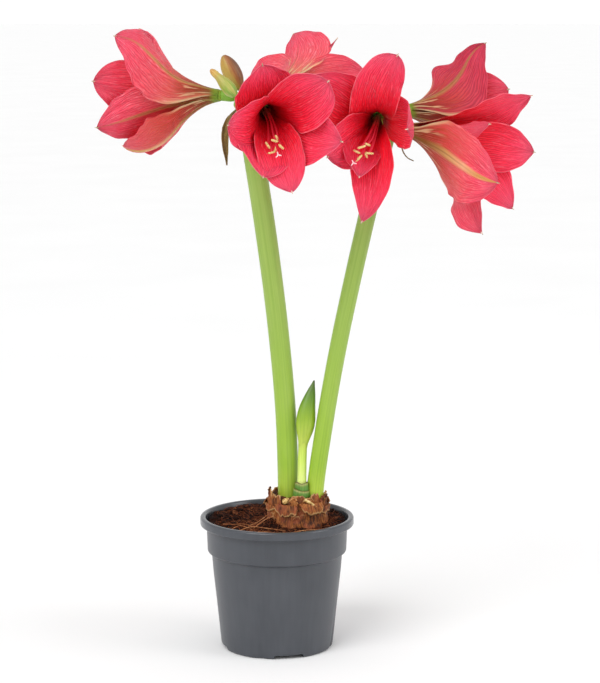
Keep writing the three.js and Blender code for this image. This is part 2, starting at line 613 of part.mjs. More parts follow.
// ---- scapes -------------------------------------------------------------------------------
// A pedicel that leaves the top of the scape and ends in the ovary under a bloom.
function pedicel(umbel, bloom) {
  const frame = bloomFrame(bloom);
  const top = CUP_DEPTH + SEAT_GAP;
  const foot = frame.base.clone().addScaledVector(frame.forward, -top - OVARY_LENGTH);
  const knee = umbel.clone().lerp(foot, 0.5).addScaledVector(UP, 1.5);
  const inOvary = foot.clone().addScaledVector(frame.forward, 4);
  const ovary = turned([
    [0, 0], [PEDICEL_RADIUS, 0.6], [OVARY_RADIUS, 0.5 * OVARY_LENGTH],
    [OVARY_RADIUS, 0.8 * OVARY_LENGTH], [4.3, OVARY_LENGTH], [0, OVARY_LENGTH],
  ], 8, foot, frame.forward);
  return join([tube([umbel, knee, foot, inOvary], PEDICEL_RADIUS, 7, 3), ovary]);
}

function scapeSolid(path, radius, umbel, blooms) {
  const stem = tube(path.map(vector), radius, 12, 12);
  const head = new THREE.SphereGeometry(1, 9, 5);
  head.scale(radius + 1, radius + 1, 7);
  head.translate(...umbel.toArray());
  return join([stem, solid(head), ...blooms.map((bloom) => pedicel(umbel, bloom))]);
}

// A closed bud, made larger by `clear` to cut its seat in the stalk that carries it.
function budSolid({ base, tip, sides, outline: shape }, clear = 0) {
  const direction = tip.clone().sub(base).normalize();
  const length = base.distanceTo(tip) + 2 * clear;
  const foot = base.clone().addScaledVector(direction, -clear);
  const profile = shape.map(([radius, share]) => [radius && radius + clear, share * length]);
  return turned(profile, sides, foot, direction);
}

// The young scape, its closed bud, and the cut leaf bases that clasp its foot.
function youngScapeSolid() {
  const [x, y] = SCAPE_YOUNG_FOOT;
  const stem = tube(SCAPE_YOUNG_PATH.map(vector), SCAPE_YOUNG_RADIUS, 10, 8);
  const grid = [];
  for (let i = 0; i <= 3; i += 1) {
    grid.push(Array.from({ length: 6 }, (_, j) => {
      const angle = degrees(LEAF_STUB.from + LEAF_STUB.step * j);
      const radius = LEAF_STUB.radius + 2 * Math.sqrt(i / 3);
      const top = LEAF_STUB.top + 3 * Math.sin(1.3 * j);
      return new THREE.Vector3(
        x + radius * Math.cos(angle),
        y + radius * Math.sin(angle),
        THREE.MathUtils.lerp(LEAF_STUB.foot, top, i / 3),
      );
    }));
  }
  return join([stem, budSolid(BUD_YOUNG), blade(grid, LEAF_STUB.thickness)]);
}

// A dry strip hanging along a path, its width turning as it falls.
function strip({ path, halves, turn, across }) {
  const curve = new THREE.CatmullRomCurve3(path.map(vector));
  const grid = [];
  for (let i = 0; i <= SPATHE_STEPS; i += 1) {
    const share = i / SPATHE_STEPS;
    const centre = curve.getPoint(share);
    const half = between(halves, share);
    const angle = degrees(between(turn, share));
    const width = new THREE.Vector3(Math.cos(angle), Math.sin(angle), 0);
    grid.push(Array.from({ length: across + 1 }, (_, j) => (
      centre.clone().addScaledVector(width, half * ((2 * j) / across - 1))
    )));
  }
  return blade(grid, SPATHE_THICKNESS);
}

// ---- assembly -----------------------------------------------------------------------------
const plant = new THREE.Group();
const leftBlooms = BLOOMS.slice(0, 3);
const rightBlooms = BLOOMS.slice(3);

plant.add(mesh('pot', potSolid(), COLOURS.pot, 0.45));
plant.add(mesh('growing_medium', soilSolid().subtract(bulbBody(SEAT_GAP)), COLOURS.soil, 0.95));
plant.add(mesh('bulb', bulbSolid(), COLOURS.bulb, 0.7));

const budStalks = [BUD_LARGE, BUD_SMALL].map(({ base }) => (
  tube([UMBEL_LEFT, UMBEL_LEFT.clone().lerp(base, 0.5), base], BUD_STALK_RADIUS, 8, 3)
));
const leftStem = scapeSolid(SCAPE_LEFT_PATH, SCAPE_LEFT_RADIUS, UMBEL_LEFT, leftBlooms);
const scapeLeft = join([leftStem, ...budStalks])
  .subtract(budSolid(BUD_LARGE, BUD_CLEARANCE))
  .subtract(budSolid(BUD_SMALL, BUD_CLEARANCE));
const scapeRight = scapeSolid(SCAPE_RIGHT_PATH, SCAPE_RIGHT_RADIUS, UMBEL_RIGHT, rightBlooms);
plant.add(mesh('scape_left', scapeLeft, COLOURS.stem));
plant.add(mesh('scape_right', scapeRight, COLOURS.stem));
plant.add(mesh('scape_young', youngScapeSolid(), COLOURS.stem));
plant.add(mesh('bud_large', budSolid(BUD_LARGE), COLOURS.budLarge));
plant.add(mesh('bud_small', budSolid(BUD_SMALL), COLOURS.budSmall));
plant.add(mesh('spathe_left', strip(SPATHE_LEFT), COLOURS.spathe));
plant.add(mesh('spathe_right', strip(SPATHE_RIGHT), COLOURS.spathe));

for (const bloom of BLOOMS) {
  const { name } = bloom;
  plant.add(mesh(`bloom_${name}`, bloomSolid(bloom), COLOURS.bloom, 0.6, BLOOM_TOLERANCE));
  plant.add(mesh(`stamens_${name}`, stamensSolid(bloom), COLOURS.stamen, 0.6, STAMEN_TOLERANCE));
}

export default plant;
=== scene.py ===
"""Amaryllis in a grey nursery pot: two flowering stalks, six open blooms, closed buds.

Sizes are in millimetres and are scaled to metres as each piece is finished.  +Z is up, the front
looks along -Y, and the origin is under the middle of the pot.
"""
import math
import random

import bmesh
import bpy
from mathutils import Matrix, Vector, noise


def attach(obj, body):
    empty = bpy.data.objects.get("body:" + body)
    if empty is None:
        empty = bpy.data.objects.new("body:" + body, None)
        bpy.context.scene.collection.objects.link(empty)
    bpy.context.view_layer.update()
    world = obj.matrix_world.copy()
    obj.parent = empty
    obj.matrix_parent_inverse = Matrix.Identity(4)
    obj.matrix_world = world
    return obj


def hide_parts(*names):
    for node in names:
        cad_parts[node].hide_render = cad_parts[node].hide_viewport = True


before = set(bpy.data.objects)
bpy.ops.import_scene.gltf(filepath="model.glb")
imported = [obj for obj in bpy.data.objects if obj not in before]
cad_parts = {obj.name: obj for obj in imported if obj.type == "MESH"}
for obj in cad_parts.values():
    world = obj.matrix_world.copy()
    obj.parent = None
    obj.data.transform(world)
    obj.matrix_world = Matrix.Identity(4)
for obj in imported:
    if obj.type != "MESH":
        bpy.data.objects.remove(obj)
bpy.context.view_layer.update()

# ---- Camera --------------------------------------------------------------------------------
# Stands in front of the plant at the height of the flowers and looks a little down, so that the
# pot's rim shows as a slim oval.
CAMERA_PLACE = (0.0195, -1.8, 0.54)
CAMERA_DOWN = math.radians(8.8)
CAMERA_LENS = 114.7

camera_data = bpy.data.cameras.new("camera")
camera_data.lens = CAMERA_LENS
camera_data.sensor_width = 36
camera = bpy.data.objects.new("camera", camera_data)
camera.location = CAMERA_PLACE
camera.rotation_euler = (math.pi / 2 - CAMERA_DOWN, 0, 0)
bpy.context.scene.collection.objects.link(camera)
bpy.context.scene.camera = camera

# ---- Pot -----------------------------------------------------------------------------------
# A thin injection-moulded nursery pot of grey plastic: a rolled rim, a stepped collar, a tapering
# wall and a floor with drain holes.  The wall ends in a ring of feet with notches between them.
MM = 0.001
POT_RIM_RADIUS = 65
POT_RIM_WIDTH = 4.4
POT_COLLAR_RADIUS = 59.6
POT_COLLAR_FLARE = 0.8           # how much wider the collar is at its top than at its foot
POT_SHOULDER_RADIUS = 55.4
POT_BASE_RADIUS = 47.2
POT_TAPER = [(48.2, 9), (50, 27), (52, 46), (54, 64)]    # radius and height up the wall
POT_HEIGHT = 112.5
POT_LIP_Z = 105
POT_COLLAR_Z = 83
POT_SHOULDER_Z = POT_COLLAR_Z - 2.2
POT_WALL = 1.8
POT_FLOOR = 2.5
POT_FOOT = 3.5
POT_PAD_RADIUS = 12
POT_FOOT_RING = 5
POT_SEGMENTS = 144
FOOT_NOTCHES = 4
FOOT_NOTCH_WIDTH = 25
FOOT_NOTCH_ROUNDING = 1.6
FOOT_NOTCH_TURN = math.radians(-77)
FLUTE_TURN = math.radians(-28.5)    # from a notch to the shallow flute that is pressed in beside it
FLUTE_DEPTH = 1.3
FLUTE_HALF_WIDTH = 2.2
FLUTE_RISE = 12
FLUTE_END = 30                   # above this height the wall is round
DRAIN_HOLES = 5
DRAIN_RADIUS = 4.5
DRAIN_RING = 28
SHARP_ANGLE = math.radians(35)


def srgb(red, green, blue):
    """A colour as it is seen, 0 to 255, as the linear colour that a shader takes."""
    linear = [((c / 255 + 0.055) / 1.055) ** 2.4 if c > 10 else c / 3295 for c in (red, green, blue)]
    return (*linear, 1.0)


class Look:
    """The shader nodes of a finish, or of the white surround, as they are put together."""

    def __init__(self, owner):
        owner.use_nodes = True
        self.owner = owner
        self.tree = owner.node_tree

    def feed(self, node, inputs):
        """Sets inputs of a node, each to a value or to the socket that feeds it."""
        for name, value in inputs.items():
            if isinstance(value, bpy.types.NodeSocket):
                self.tree.links.new(value, node.inputs[name])
            else:
                node.inputs[name].default_value = value

    def node(self, kind, inputs=None, **settings):
        made = self.tree.nodes.new("ShaderNode" + kind)
        for name, value in settings.items():
            setattr(made, name, value)
        self.feed(made, inputs or {})
        return made

    def maths(self, operation, *values):
        return self.node("Math", dict(enumerate(values)), operation=operation).outputs[0]

    def times(self, first, second):
        return self.maths("MULTIPLY", first, second)

    def times_add(self, value, factor, added):
        return self.maths("MULTIPLY_ADD", value, factor, added)

    def mixed(self, first, first_share, second, second_share):
        return self.times_add(first, first_share, self.times(second, second_share))

    def fade(self, value, start, end):
        """0 before `start` and 1 after `end`, smooth between them."""
        inputs = {"Value": value, "From Min": start, "From Max": end}
        return self.node("MapRange", inputs, interpolation_type="SMOOTHSTEP").outputs[0]

    def blend(self, factor, first, second):
        return self.node("Mix", {0: factor, 6: first, 7: second}, data_type="RGBA").outputs[2]

    def over(self, colour, pattern, strength, *painted):
        """Paints a colour, as it is seen, over another one where a pattern is strong."""
        return self.blend(self.times(pattern, strength), colour, srgb(*painted))

    def ramp(self, factor, *stops):
        """Colours by place along `factor`: each stop is a place and a colour as it is seen."""
        made = self.node("ValToRGB", {0: factor})
        elements = made.color_ramp.elements
        for element, (place, *colour) in zip(elements, (stops[0], stops[-1])):
            element.position = place
            element.color = srgb(*colour)
        for place, *colour in stops[1:-1]:
            elements.new(place).color = srgb(*colour)
        return made.outputs[0]

    def axes(self, vector):
        return self.node("SeparateXYZ", {0: vector}).outputs

    def spot(self, *values):
        return self.node("CombineXYZ", dict(enumerate(values))).outputs[0]

    def noise(self, vector, stretch, detail=3, roughness=0.55):
        """Soft noise on a vector that is stretched first, from 0 to 1."""
        scaled = self.node("VectorMath", {0: vector, 1: stretch}, operation="MULTIPLY").outputs[0]
        inputs = {"Vector": scaled, "Scale": 1, "Detail": detail, "Roughness": roughness}
        return self.node("TexNoise", inputs).outputs[0]


class Finish(Look):
    """The material of a piece, with the place on the piece that its patterns read."""

    def __init__(self, name, roughness):
        super().__init__(bpy.data.materials.new(name))
        self.shader = self.tree.nodes["Principled BSDF"]
        self.place = self.node("TexCoord").outputs["Object"]
        self.feed(self.shader, {"Roughness": roughness})

    def uv(self):
        return self.node("UVMap", uv_map="UVMap").outputs[0]

    def attribute(self, name):
        return self.node("Attribute", attribute_name=name).outputs["Fac"]

    def grain(self, size, detail=3, roughness=0.55):
        """Noise that is even in all directions, `size` lumps to the metre."""
        return self.noise(self.place, (size, size, size), detail, roughness)

    def rise(self, low, high):
        """0 at one height and 1 at another, both in metres."""
        inputs = {"Value": self.axes(self.place)[2], "From Min": low, "From Max": high}
        return self.node("MapRange", inputs).outputs[0]

    def done(self, colour, height=None, depth=0, inputs=None):
        """Gives the shader its colour and a relief of at most `depth` millimetres."""
        self.feed(self.shader, {"Base Color": colour, **(inputs or {})})
        if depth:
            bump = self.node("Bump", {"Height": height, "Distance": depth * MM})
            self.feed(self.shader, {"Normal": bump.outputs[0]})
        return self.owner


def spun(profile, segments):
    """A body turned round the Z axis from (radius, height) points."""
    bm = bmesh.new()
    turns = [2 * math.pi * k / segments for k in range(segments)]
    rings = []
    for radius, height in profile:
        spots = [(radius * math.cos(turn), radius * math.sin(turn), height) for turn in turns]
        rings.append([bm.verts.new(spot) for spot in spots])
    for low, high in zip(rings, rings[1:]):
        for k in range(segments):
            bm.faces.new((low[k - 1], low[k], high[k], high[k - 1]))
    bmesh.ops.remove_doubles(bm, verts=bm.verts, dist=0.001)
    bmesh.ops.recalc_face_normals(bm, faces=bm.faces)
    return bm


def rounded(corners, steps=5):
    """Profile points with each corner (radius, height, size) drawn as an arc of that size."""
    points = []
    for i, (radius, height, size) in enumerate(corners):
        here = Vector((radius, height))
        if not size:
            points.append(tuple(here))
            continue
        before = here + (Vector(corners[i - 1][:2]) - here).normalized() * size
        after = here + (Vector(corners[i + 1][:2]) - here).normalized() * size
        for k in range(steps + 1):
            share = k / steps
            points.append(tuple(before.lerp(here, share).lerp(here.lerp(after, share), share)))
    return points


def new_piece(name, bm, *materials):
    """Puts a mesh in millimetres into the scene as a smooth piece in metres."""
    bmesh.ops.scale(bm, verts=bm.verts, vec=(MM, MM, MM))
    mesh = bpy.data.meshes.new(name)
    bm.to_mesh(mesh)
    bm.free()
    mesh.shade_smooth()
    for material in materials:
        mesh.materials.append(material)
    piece = bpy.data.objects.new(name, mesh)
    bpy.context.scene.collection.objects.link(piece)
    return piece


def grey_plastic():
    """Satin grey plastic with moulding streaks down the wall, and a rim that handling has polished."""
    finish = Finish("grey_plastic", 0.4)
    streaks = finish.noise(finish.place, (260, 260, 14), 3)
    clouds = finish.noise(finish.place, (34, 34, 26), 2)
    colour = finish.ramp(finish.mixed(streaks, 0.35, clouds, 0.65), (0.3, 60, 63, 69), (0.7, 71, 74, 80))
    worn = finish.node("MapRange", {"Value": clouds, "To Min": 0.3, "To Max": 0.44}).outputs[0]
    handled = finish.fade(finish.axes(finish.place)[2], 0.1045, 0.1055)
    worn = finish.times(worn, finish.times_add(handled, -0.45, 1))
    grain = finish.noise(finish.place, (1500, 1500, 900), 2)
    return finish.done(colour, finish.times_add(streaks, 0.8, grain), 0.05, {"Roughness": worn})


def pot_mesh():
    inner = [radius - POT_WALL for radius in (POT_COLLAR_RADIUS, POT_SHOULDER_RADIUS, POT_BASE_RADIUS)]
    foot_inside = POT_BASE_RADIUS - POT_FOOT_RING
    floor_top = POT_FOOT + POT_FLOOR
    bm = spun(rounded([
        (0, 0, 0), (POT_PAD_RADIUS, 0, 1), (POT_PAD_RADIUS, POT_FOOT, 0), (foot_inside, POT_FOOT, 0),
        (foot_inside, 0, 0.8), (POT_BASE_RADIUS, 0, 2.6),
        *[(radius, height, 0) for radius, height in POT_TAPER],
        (POT_SHOULDER_RADIUS, POT_SHOULDER_Z, 0.5),
        (POT_COLLAR_RADIUS - POT_COLLAR_FLARE, POT_COLLAR_Z, 1), (POT_COLLAR_RADIUS - 0.4, 93, 0),
        (POT_COLLAR_RADIUS, POT_LIP_Z, 0.5), (POT_RIM_RADIUS, POT_LIP_Z + 0.4, 1.4),
        (POT_RIM_RADIUS, POT_HEIGHT, 2), (POT_RIM_RADIUS - POT_RIM_WIDTH, POT_HEIGHT, 1.6),
        (inner[0] + 0.6, POT_LIP_Z - 1, 1), (inner[0], 92, 0),
        (inner[0] - POT_COLLAR_FLARE, POT_COLLAR_Z, 0), (inner[1], POT_SHOULDER_Z, 0),
        (inner[2], floor_top, 0), (0, floor_top, 0),
    ]), POT_SEGMENTS)
    spacing = 2 * math.pi / FOOT_NOTCHES
    for vert in bm.verts:
        radius = math.hypot(vert.co.x, vert.co.y)
        if vert.co.z > FLUTE_END or radius < POT_BASE_RADIUS - POT_WALL - 0.1:
            continue
        turn = math.atan2(vert.co.y, vert.co.x) - FOOT_NOTCH_TURN - FLUTE_TURN
        turn = (turn + spacing / 2) % spacing - spacing / 2
        across = math.exp(-((turn * radius / FLUTE_HALF_WIDTH) ** 2))
        dent = FLUTE_DEPTH * across * math.exp(-((vert.co.z / FLUTE_RISE) ** 2))
        vert.co.xy *= 1 - dent / radius
    return bm


def pot_cutters():
    """Rounded blocks for the notches between the feet, and pins for the drain holes."""
    bm = bmesh.new()
    for i in range(FOOT_NOTCHES):
        block = bmesh.ops.create_cube(bm, size=1)["verts"]
        edges = list(dict.fromkeys(edge for vert in block for edge in vert.link_edges))
        bmesh.ops.scale(bm, verts=block, vec=(4 * POT_FOOT_RING, FOOT_NOTCH_WIDTH, 2 * POT_FOOT))
        rims = [edge for edge in edges if abs(edge.verts[0].co.x - edge.verts[1].co.x) > 1]
        made = bmesh.ops.bevel(bm, geom=rims, offset=FOOT_NOTCH_ROUNDING, affect="EDGES", segments=4,
                               profile=0.5, material=-1)
        block = [vert for vert in block if vert.is_valid]
        block = list(dict.fromkeys([*block, *(vert for face in made["faces"] for vert in face.verts)]))
        place = Matrix.Rotation(FOOT_NOTCH_TURN + 2 * math.pi * i / FOOT_NOTCHES, 4, "Z")
        place = place @ Matrix.Translation((POT_BASE_RADIUS, 0, 0))
        bmesh.ops.transform(bm, verts=block, matrix=place)
    for i in range(DRAIN_HOLES):
        place = Matrix.Rotation(2 * math.pi * i / DRAIN_HOLES, 4, "Z")
        place = place @ Matrix.Translation((DRAIN_RING, 0, POT_FOOT + POT_FLOOR / 2))
        bmesh.ops.create_cone(bm, cap_ends=True, segments=24, radius1=DRAIN_RADIUS,
                              radius2=DRAIN_RADIUS, depth=4 * POT_FLOOR, matrix=place)
    return bm


pot = new_piece("nursery_pot", pot_mesh(), grey_plastic())
cutters = new_piece("pot_cutters", pot_cutters())
cut = pot.modifiers.new("notches and drain holes", "BOOLEAN")
cut.operation = "DIFFERENCE"
cut.solver = "EXACT"
cut.object = cutters
cut_mesh = bpy.data.meshes.new_from_object(pot.evaluated_get(bpy.context.evaluated_depsgraph_get()))
pot.modifiers.clear()
pot.data = cut_mesh
bpy.data.objects.remove(cutters)
pot.data.set_sharp_from_angle(angle=SHARP_ANGLE)
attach(pot, "root")
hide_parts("pot")

# ---- Growing medium ------------------------------------------------------------------------
# Damp peat and coir, filled to just under the rim and settled against the wall.  Crumbs and
# loose reddish fibres lie on it.  It is higher round the bulb and along the rear wall.
SOIL_Z = 106.3
SOIL_GAP = 0.3
SOIL_RINGS = 64
SOIL_SEGMENTS = 200
BULB_X, BULB_Y = 17.5, -5
MOUND_X, MOUND_Y = -5, -19       # where the coir is heaped against the bulb
MOUND_HEIGHT = 6.5
BANK_HEIGHT = 4.8                # how far the soil rises towards the rear wall
CRUMBS = 900
CRUMB_REACH = 56                 # loose litter lies inside these radii
FIBRES = 1150
FIBRE_REACH = 54


def clamped(value):
    return min(max(value, 0), 1)


def soil_height(x, y):
    """Level of the soil's lumpy surface."""
    place = Vector((x, y, 0))
    lumps = 1.5 * noise.noise(place * 0.055) + 1.2 * noise.noise(place * 0.16 + Vector((7, 1, 3)))
    crumbs = 0.9 * noise.turbulence(place * 0.42, 3, False)
    near_bulb = math.hypot((x - BULB_X) / 1.25, y - BULB_Y)
    heap = 2.2 * math.exp(-(((near_bulb - 22) / 11) ** 2))
    mound = MOUND_HEIGHT * math.exp(-(((x - MOUND_X) / 9) ** 2) - ((y - MOUND_Y) / 7) ** 2)
    bank = BANK_HEIGHT * clamped((math.hypot(x, y) - 28) / 26) * clamped((y + 26) / 34)
    return SOIL_Z + lumps + crumbs + heap + mound + bank - 1.2


def on_soil(x, y, lift):
    return x, y, soil_height(x, y) + lift


def soil_mesh():
    side = [radius - POT_WALL - SOIL_GAP
            for radius in (POT_BASE_RADIUS, POT_SHOULDER_RADIUS, POT_COLLAR_RADIUS)]
    floor = POT_FOOT + POT_FLOOR + SOIL_GAP
    edge = side[2] - 0.2
    bm = spun([
        (0, floor), (side[0], floor), (side[1], POT_SHOULDER_Z),
        (side[2] - POT_COLLAR_FLARE, POT_COLLAR_Z), (side[2], POT_LIP_Z - 3),
        *[(edge * (1 - i / SOIL_RINGS), SOIL_Z) for i in range(SOIL_RINGS + 1)],
    ], SOIL_SEGMENTS)
    for vert in bm.verts:
        if vert.co.z > SOIL_Z - 0.01:
            vert.co.z = soil_height(vert.co.x, vert.co.y)
    return bm


def new_mesh():
    """An empty mesh with the map that patterns along a piece follow."""
    bm = bmesh.new()
    bm.loops.layers.uv.new("UVMap")
    return bm


def scattered(draw, reach):
    radius = reach * math.sqrt(draw.random())
    turn = draw.uniform(0, 2 * math.pi)
    return radius * math.cos(turn), radius * math.sin(turn)


def crumbs_mesh():
    """Small rough lumps of peat, half sunk in the surface."""
    bm = new_mesh()
    draw = random.Random(11)
    for _ in range(CRUMBS):
        x, y = scattered(draw, CRUMB_REACH)
        size = 0.5 + 1.5 * draw.random() ** 3
        place = Matrix.Translation(on_soil(x, y, 0.2 * size))
        place = place @ Matrix.Rotation(draw.uniform(0, 6.28), 4, "Z")
        place = place @ Matrix.Rotation(draw.uniform(0, 3), 4, "X")
        sides = (size * draw.uniform(0.8, 1.7), size, size * draw.uniform(0.5, 0.9), 1)
        place = place @ Matrix.Diagonal(sides)
        lump = bmesh.ops.create_icosphere(bm, subdivisions=1, radius=1, matrix=place)["verts"]
        for vert in lump:
            vert.co += Vector([draw.uniform(-0.22, 0.22) * size for _ in range(3)])
    return bm


def smooth_line(points, count):
    """Even steps along a smooth line through the points."""
    knots = [Vector(point) for point in points]
    gaps = [math.sqrt((b - a).length) for a, b in zip(knots, knots[1:])]
    slopes = [(knots[1] - knots[0]) / gaps[0]]
    for i in range(1, len(gaps)):
        before, here, after = knots[i - 1:i + 2]
        slopes.append((here - before) / gaps[i - 1] - (after - before) / (gaps[i - 1] + gaps[i])
                      + (after - here) / gaps[i])
    slopes.append((knots[-1] - knots[-2]) / gaps[-1])
    total = sum(gaps)
    line = []
    for k in range(count + 1):
        reach, i = total * k / count, 0
        while i < len(gaps) - 1 and reach > gaps[i]:
            reach -= gaps[i]
            i += 1
        u = min(reach / gaps[i], 1.0)
        line.append(knots[i] * (1 + 2 * u) * (1 - u) ** 2 + knots[i + 1] * (3 - 2 * u) * u * u
                    + slopes[i] * (gaps[i] * u * (1 - u) ** 2)
                    - slopes[i + 1] * (gaps[i] * u * u * (1 - u)))
    return line


def add_grid(bm, columns, rows):
    """Adds a sheet, and gives each vertex with its place across, -1 to 1, and along, 0 to 1."""
    made = bmesh.ops.create_grid(bm, x_segments=columns, y_segments=rows, size=1, calc_uvs=True)["verts"]
    return [(vert, vert.co.x, (vert.co.y + 1) / 2) for vert in made]


def grow_stalk(bm, points, width, around, along, section=None, slot=0):
    """Rolls a grid into a closed stalk round a smooth line: `width` gives its radius at the share
    s of its length, and `section` a factor by the angle round it."""
    centres = smooth_line(points, along)
    headings = [(centres[min(i + 1, along)] - centres[max(i - 1, 0)]).normalized()
                for i in range(along + 1)]
    side = headings[0].orthogonal().normalized()
    sides = [side]
    for before, after in zip(headings, headings[1:]):
        side = before.rotation_difference(after) @ side
        sides.append(side)
    faces_before = len(bm.faces)
    made = add_grid(bm, around, along)
    for vert, t, s in made:
        row = round(s * along)
        angle = math.pi * (t + 1)
        radius = 0.0 if row in (0, along) else width(s)
        if section:
            radius *= section(angle, s)
        across = sides[row] * math.cos(angle) + headings[row].cross(sides[row]) * math.sin(angle)
        vert.co = centres[row] + across * radius
    bm.faces.ensure_lookup_table()
    faces = bm.faces[faces_before:]
    for face in faces:
        face.material_index = slot
    bmesh.ops.remove_doubles(bm, verts=[vert for vert, _, _ in made], dist=0.0005)
    return [face for face in faces if face.is_valid]


def add_fibres(bm):
    """Coir fibres, thin and springy, lying on the soil in loose curves."""
    draw = random.Random(23)
    for _ in range(FIBRES):
        x, y = scattered(draw, FIBRE_REACH)
        heading = draw.uniform(0, 2 * math.pi)
        bend = draw.uniform(-1.3, 1.3)
        length = draw.uniform(5, 19)
        points = []
        for i in range(4):
            lift = draw.uniform(0.1, 1.5) if 0 < i < 3 else -0.3
            if math.hypot(x, y) > CRUMB_REACH:
                break
            points.append(on_soil(x, y, lift))
            x += length / 3 * math.cos(heading)
            y += length / 3 * math.sin(heading)
            heading += bend / 2
        if len(points) == 4:
            thickness = draw.uniform(0.1, 0.28)
            grow_stalk(bm, points, lambda s: thickness * (1 - 0.4 * s), 4, 8)


def peat(name, roughness, depth, *stops):
    """Fibrous damp peat, its colour broken up at the size of crumbs and of fibres."""
    finish = Finish(name, roughness)
    tone = finish.mixed(finish.grain(420, 6, 0.7), 0.7, finish.grain(90), 0.3)
    return finish.done(finish.ramp(tone, *stops), finish.grain(1300, 5, 0.7), depth,
                       {"Specular IOR Level": 0.15})


soil_material = peat("damp_coir_and_peat", 0.9, 0.5, (0.3, 8, 2, 1), (0.46, 26, 9, 4),
                     (0.58, 52, 20, 8), (0.74, 92, 40, 18))
fibre_material = peat("coir_fibre", 0.7, 0.05, (0.36, 66, 26, 12), (0.52, 120, 60, 32),
                      (0.68, 196, 134, 88))
long_fibre_material = peat("long_coir_fibre", 0.6, 0.05, (0.36, 132, 74, 42), (0.52, 178, 116, 74),
                           (0.68, 216, 164, 118))

soil = new_piece("coir_soil", soil_mesh(), soil_material)
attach(soil, "root")
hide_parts("growing_medium")

crumb_piece = new_piece("soil_crumbs", crumbs_mesh(), soil_material)
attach(crumb_piece, "root")

# Long fibres that lean on the bulb or lie in arcs: places on the soil, and how high over it they are.
LONG_FIBRES = [
    [(-34, -30, 0), (-22, -25, 3), (-6, -32, 1.5), (8, -31, 0)],
    [(-12, -20, 0), (-6, -14, 3), (-5, -9, 9), (-5, -7, 14)],
    [(-20, -24, 0), (-11, -22, 2), (-3, -21, 3), (4, -24, 2)],
    [(-46, -8, 0), (-36, -14, 1.5), (-28, -10, 1), (-20, -16, 0)],
    [(-25, -14, 0), (-17, -18, 2.5), (-9, -15, 4), (-6, -11, 8)],
    [(-30, -36, 0), (-18, -39, 2), (-4, -38, 1), (6, -41, 0)],
    [(-40, -22, 0), (-31, -19, 2), (-24, -23, 1), (-17, -31, 0)],
    [(12, -34, 0), (24, -37, 2), (36, -31, 1.5), (42, -24, 0)],
]
litter = new_mesh()
add_fibres(litter)
for path in LONG_FIBRES:
    grow_stalk(litter, [on_soil(*place) for place in path], lambda s: 0.46 - 0.2 * s, 6, 24, slot=1)
fibre_piece = new_piece("coir_fibres", litter, fibre_material, long_fibre_material)
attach(fibre_piece, "root")

# ---- Bulb ----------------------------------------------------------------------------------
# The bulb's shoulders are in the soil.  Its neck stands out of it, wrapped in the dry brown bases
# of old leaves: papery scales cut across, torn, and curled outward over the ones below.
BULB_OVAL = (1.06, 0.95)
BULB_NECK_RADIUS = 22.2
BULB_TOP = 134
BULB_SEGMENTS = 96
BULB_BODY = [(0, 42), (12, 42), (23, 50), (29.5, 66), (30, 82)]     # radius and height in the soil
SCALE_THICKNESS = 0.7

# Each scale: the turn of its middle and how far it reaches round the neck, in degrees from +X;
# its section from the foot to the torn edge, as distance off the neck and height; and its tone,
# from dark (0) over brown (0.5) to pale and pink (1).
FLANK = [(3.4, 104), (2.2, 108.5), (1.2, 114), (0.6, 120)]
HANGING = [(-0.5, 117), (0.4, 126), (1.8, 128.5), (3.4, 124.5), (3.8, 119)]
STANDING = [(0.4, 110), (0.8, 120), (0.6, 129), (0.2, 135)]
SCALES = [
    (-62, 86, FLANK, 0.35), (-118, 76, FLANK, 0.5), (-176, 84, FLANK, 0.4), (10, 84, FLANK, 0.5),
    (72, 90, FLANK, 0.45), (128, 84, FLANK, 0.55), (-64, 48, HANGING, 0.8),
    (-112, 50, [(-0.5, 115), (0.3, 124), (1.6, 127), (3.2, 122.5), (3.7, 117.5)], 0.62),
    (-24, 52, [(0, 112), (1, 120), (2.4, 124), (3.3, 119)], 0.55),
    (-158, 46, [(0, 112), (1, 121), (2.2, 125), (2.9, 119.5)], 0.75),
    (40, 60, HANGING, 0.6), (96, 54, STANDING, 0.7), (150, 60, HANGING, 0.5),
    (-168, 44, [(0.2, 112), (0.8, 124), (0.5, 132), (0.4, 138)], 0.85),
    (-172, 15, [(0, 126), (0.6, 134), (0, 139.5)], 0.05),
    (-29, 26, [(0.2, 116), (0.5, 127), (0.8, 131), (2.6, 134.5)], 0.1), (-140, 40, STANDING, 0.55),
    (-88, 44, STANDING, 0.5), (-46, 40, [(0.2, 112), (0.5, 124), (0.2, 131), (-0.6, 136)], 0.7),
    (-5, 50, STANDING, 0.6), (52, 56, STANDING, 0.5), (128, 50, STANDING, 0.65),
    (-96, 13, [(0.8, 126), (1.4, 130), (1.2, 133.4)], 1.3),
    (-70, 26, [(0.4, 118), (0.2, 128), (0.9, 133)], 0.9),
]


def between(knots, share):
    """A value between even knots, for a share from 0 to 1."""
    place = clamped(share) * (len(knots) - 1)
    first = min(int(place), len(knots) - 2)
    return knots[first] + (knots[first + 1] - knots[first]) * (place - first)


def on_neck(turn, radius, height):
    """A point round the axis of the bulb, which is a little wider than it is deep."""
    return (BULB_X + BULB_OVAL[0] * radius * math.cos(turn),
            BULB_Y + BULB_OVAL[1] * radius * math.sin(turn), height)


